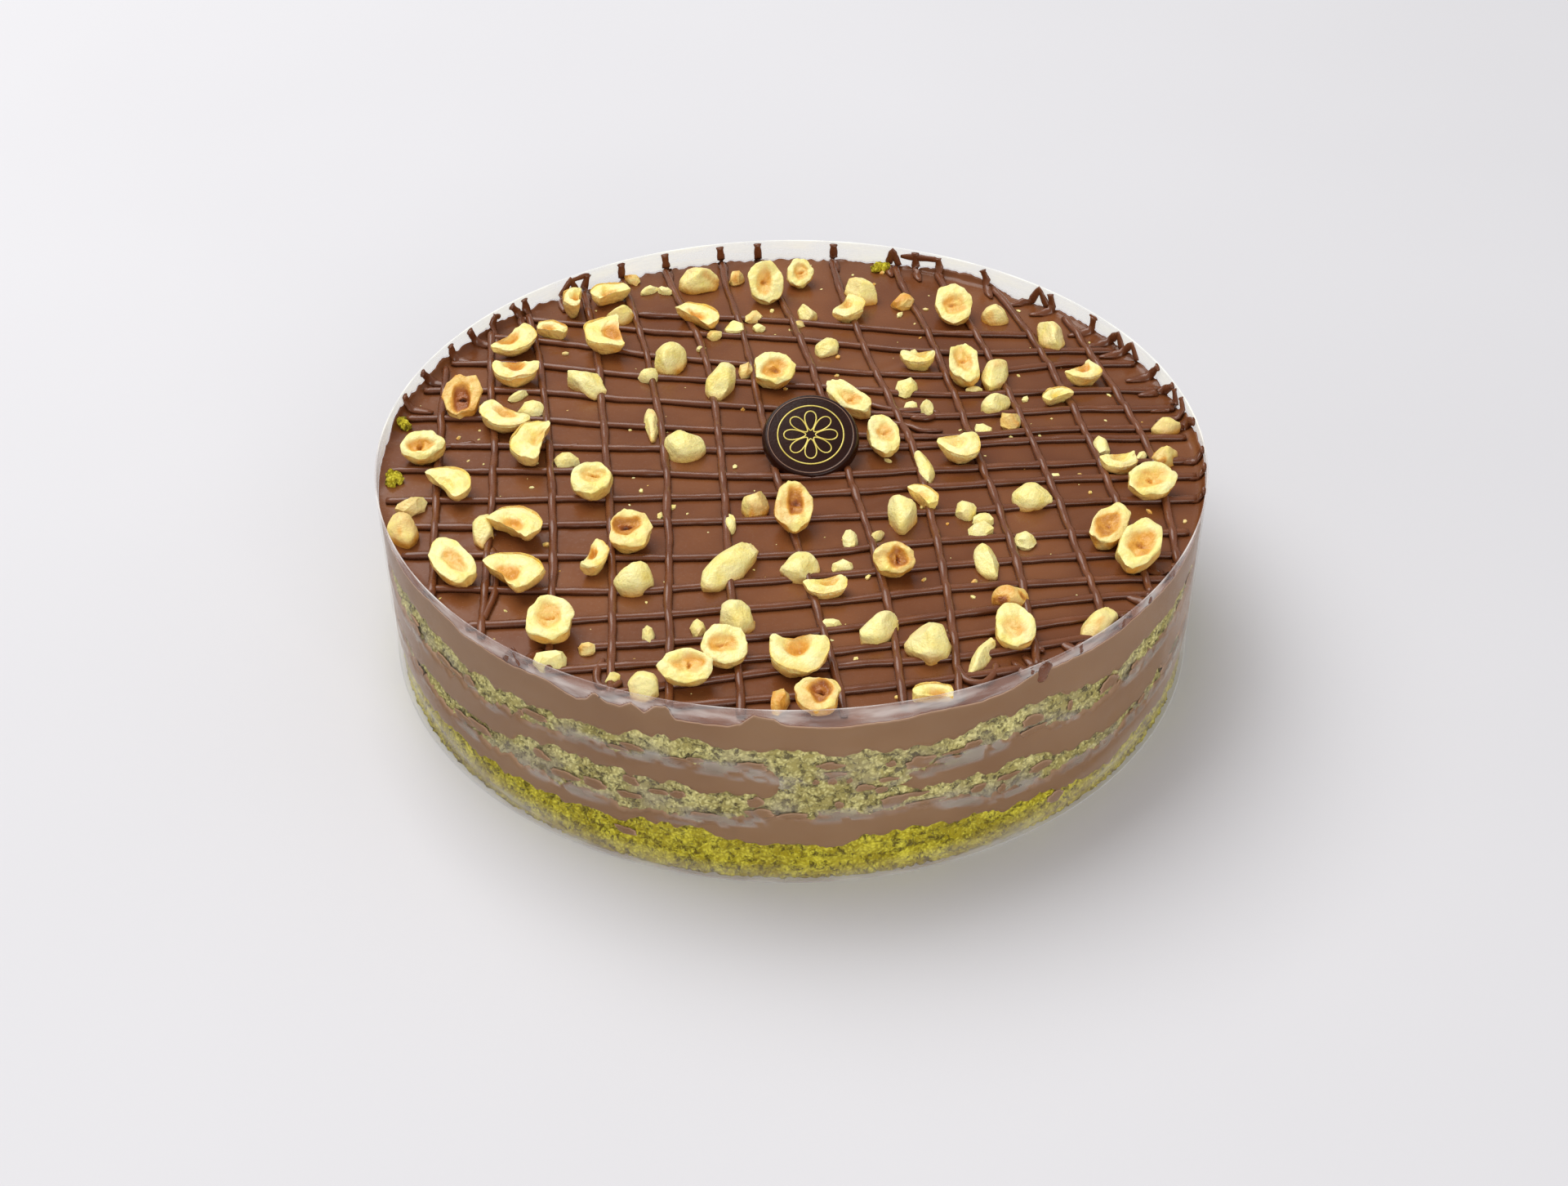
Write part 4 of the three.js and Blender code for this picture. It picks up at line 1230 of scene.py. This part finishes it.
def chips_and_crumbs():
    """The chips, and finer crumbs between them; each row ends with how finely its ball is divided."""
    shape = new_shape("toast")
    chance = random.Random(CRUMB_SEED)
    rows = [(*row, 2) for row in CHIPS]
    for _ in range(CRUMB_COUNT):
        turn, reach = chance.uniform(0, FULL_TURN), CRUMB_REACH * math.sqrt(chance.random())
        size = 0.5 + 1.5 * chance.random() ** 3
        rows.append((reach * math.cos(turn), reach * math.sin(turn), size * chance.uniform(1, 1.9), size,
                     size * 0.7, chance.uniform(0, 180), chance.choice((0, 0, 0.2, 0.5)), 1))
    for i, (x, y, length, width, height, turn, toast, divisions) in enumerate(rows):
        made = bmesh.ops.create_icosphere(shape, subdivisions=divisions, radius=1)
        for vert in made["verts"]:
            point = crag(vert.co, CHIP_SEEDS + i, 0.32)
            point.z = max(point.z, -CHIP_FOOT)
            set_measure(shape, vert, "toast", toast * (0.6 + 0.6 * ripple(*point, 0.8)))
            up = (point.z + CHIP_FOOT) * height / (1 + CHIP_FOOT)
            grown = Vector((point.x * length / 2, point.y * width / 2, up))
            vert.co = Matrix.Rotation(math.radians(turn), 3, "Z") @ grown
            vert.co += Vector((x, y, spread_at(x, y) - CHIP_SUNK))
    finish_piece("chips_and_crumbs", shape, [NUT], crisp=CHIP_CREASE)


def green_crumbs():
    shape = new_shape("share")
    for i, (x, y) in enumerate(GREEN_CRUMBS):
        made = bmesh.ops.create_icosphere(shape, subdivisions=3, radius=1)
        for vert in made["verts"]:
            set_measure(shape, vert, "share", 1)
            vert.co = crag(vert.co, GREEN_SEEDS + i, 0.5) * 1.7 + Vector((x, y, spread_at(x, y) + 0.8))
    finish_piece("sponge_crumbs_on_top", shape, [LOW_SPONGE])


hazelnuts()
small_pieces()
chips_and_crumbs()
green_crumbs()


# ---------------------------------------------------------------- medallion

MEDALLION_LIFT = MEDALLION_RADIUS * math.sin(math.radians(MEDALLION_TILT)) - MEDALLION_SUNK
DISC_STEPS = 128
# The rosette's ring, its petals' middle, half length and half width, and half the lines' width
RING_RADIUS = 9.6
PETALS = 8
PETAL_MIDDLE = 4.6
PETAL_LENGTH = 3.2
PETAL_WIDTH = 1.45
RING_LINE = 0.22
PETAL_LINE = 0.2


def set_tilted(verts):
    """Puts what was made flat round the origin into the medallion's place."""
    tilt = Matrix.Rotation(math.radians(MEDALLION_TILT), 3, "X")
    x, y = MEDALLION_PLACE
    for vert in verts:
        vert.co = tilt @ vert.co + Vector((x, y, cream_top_at(y) + MEDALLION_LIFT))


def medallion():
    """A moulded disc: a rounded rim, a fine ridge inside it with a painted highlight line on it, and a smooth
    face.
    """
    shape = new_shape("edge")
    radius, thick = MEDALLION_RADIUS, MEDALLION_THICKNESS
    profile = [(0, 0), (radius - 0.5, 0), (radius - 0.15, 0.12), (radius, 0.5), (radius - 0.2, 1.2),
               (radius - 0.8, thick - 0.45), (radius - 1.15, thick - 0.1), (radius - 1.5, thick),
               (radius - 1.62, thick - 0.06), (radius - 1.7, thick + 0.05), (radius - 1.82, thick + 0.05),
               (radius - 1.9, thick - 0.06), (radius - 2.1, thick - 0.04), (0, thick - 0.02)]
    turned(shape, profile, DISC_STEPS)
    for vert in shape.verts:
        # Painted highlight on the fine ridge inside the rim
        set_measure(shape, vert, "edge", 1 if vert.co.z > thick + 0.03 else 0)
    set_tilted(shape.verts)
    finish_piece("moulded_medallion", shape, [DARK_CHOCOLATE], ["medallion"])


def steps_round(count):
    return [FULL_TURN * i / count for i in range(count + 1)]


def petal_at(turn, height):
    """A point of a petal's outline, which is broader at its outer end."""
    across = PETAL_WIDTH * math.sin(turn) * (1.1 + 0.4 * math.cos(turn))
    return Vector((PETAL_MIDDLE + PETAL_LENGTH * math.cos(turn), across, height))


def gold_rosette():
    """A plain rosette printed in gold: a ring and eight petals, each a raised line."""
    shape = new_shape()
    height = MEDALLION_THICKNESS + 0.02
    ring = [Vector((RING_RADIUS * math.cos(t), RING_RADIUS * math.sin(t), height)) for t in steps_round(64)]
    loops = [(ring, RING_LINE)]
    for k in range(PETALS):
        turn = Matrix.Rotation(FULL_TURN * k / PETALS, 3, "Z")
        loops.append(([turn @ petal_at(t, height) for t in steps_round(28)], PETAL_LINE))
    for path, radius in loops:
        rolled(shape, path, [radius] * len(path), sides=6, flatness=0.5, shut=False)
    set_tilted(shape.verts)
    finish_piece("gold_rosette", shape, [GOLD_PRINT])


def cream_dab():
    """The dab of cream that the medallion leans on."""
    shape = new_shape()
    x, y = DAB_PLACE
    length, width, height = DAB_SIZE
    made = bmesh.ops.create_uvsphere(shape, u_segments=32, v_segments=20, radius=1)
    level = cream_top_at(y)
    tilt = math.tan(math.radians(MEDALLION_TILT))
    for vert in made["verts"]:
        point = crag(vert.co, DAB_SEED, 0.06)
        place = Vector((x + point.x * length, y + point.y * width, level + max(point.z * height, -1)))
        under_disc = (level + MEDALLION_LIFT + (place.y - MEDALLION_PLACE[1]) * tilt) - 0.2
        place.z = min(place.z, under_disc)
        vert.co = place
    finish_piece("cream_dab", shape, [SPREAD_CREAM])


medallion()
gold_rosette()
cream_dab()


# ---------------------------------------------------------------- collar

# Rows of the film's inside, closer together at the seams and at the cream's contact line
CONTACT_ROWS = [52 + 0.4 * i for i in range(15)]
COLLAR_ROWS = (0, 6, 12, *range(14, 25), 26, 28, *range(30, 41), 42, 46, 50, 51, *CONTACT_ROWS,
               58, 58.5, 59, 59.4, 59.85)
RIM_ROUNDING = 0.12


def air_gap_reflection_at(x, y, z):
    """Painted reflection on the inside of the film where air lies behind it, mostly where a sponge rests on
    the cream below.
    """
    strength = 0
    for seam in ("top_sponge", "middle_sponge"):
        above = z - seam_at(seam, x, y)
        wide = 2.6 + 1.8 * ripple(x, y, 70, 30)
        band = 1 - min(abs(above - 0.6) / max(wide, 0.5), 1)
        broken_up = eased(ripple(x, y, z * 1.5, 16) * 3 + 0.5) * eased(ripple(x, y, z * 2, 4, 2) * 2.6 + 0.8)
        strength = max(strength, eased(band * 2.2) * broken_up)
    return strength


def collar():
    """The clear film, thinly rounded at its rim, with a veil of dried fat above the cream that is painted
    lighter towards the back for light from behind, and painted reflection lower down where air lies behind
    it.
    """
    shape = new_shape("veil", "air_gap_reflection")
    outside = [(COLLAR_RADIUS, height) for height in (0, 20, 40, COLLAR_HEIGHT - 0.15)]
    inside = [(FILM_INSIDE, height) for height in reversed(COLLAR_ROWS)]
    rim = [(COLLAR_RADIUS - RIM_ROUNDING, COLLAR_HEIGHT), (FILM_INSIDE + RIM_ROUNDING, COLLAR_HEIGHT)]
    turned(shape, [*outside, *rim, *inside], ROUND_STEPS, closed=True)
    for vert in shape.verts:
        x, y, z = vert.co
        if math.hypot(x, y) > COLLAR_RADIUS - 0.01:
            continue
        above = z - contact_at(azimuth_of(x, y))
        behind = eased((y + 30) / 60)
        # The veil of dried fat, raised towards the back for painted light from behind
        set_measure(shape, vert, "veil", eased(above / 0.5) * (1 + 0.9 * behind))
        # Painted reflection where air lies behind the film, below the contact line
        set_measure(shape, vert, "air_gap_reflection", air_gap_reflection_at(x, y, z) if above < -2 else 0)
    finish_piece("clear_collar", shape, [CLEAR_FILM], ["collar"])


def floor():
    shape = new_shape()
    bmesh.ops.create_grid(shape, x_segments=FLOOR_STEPS, y_segments=FLOOR_STEPS, size=FLOOR_HALF_WIDTH)
    ground = made_object("floor", shape, [pale_floor()])


collar()
floor()
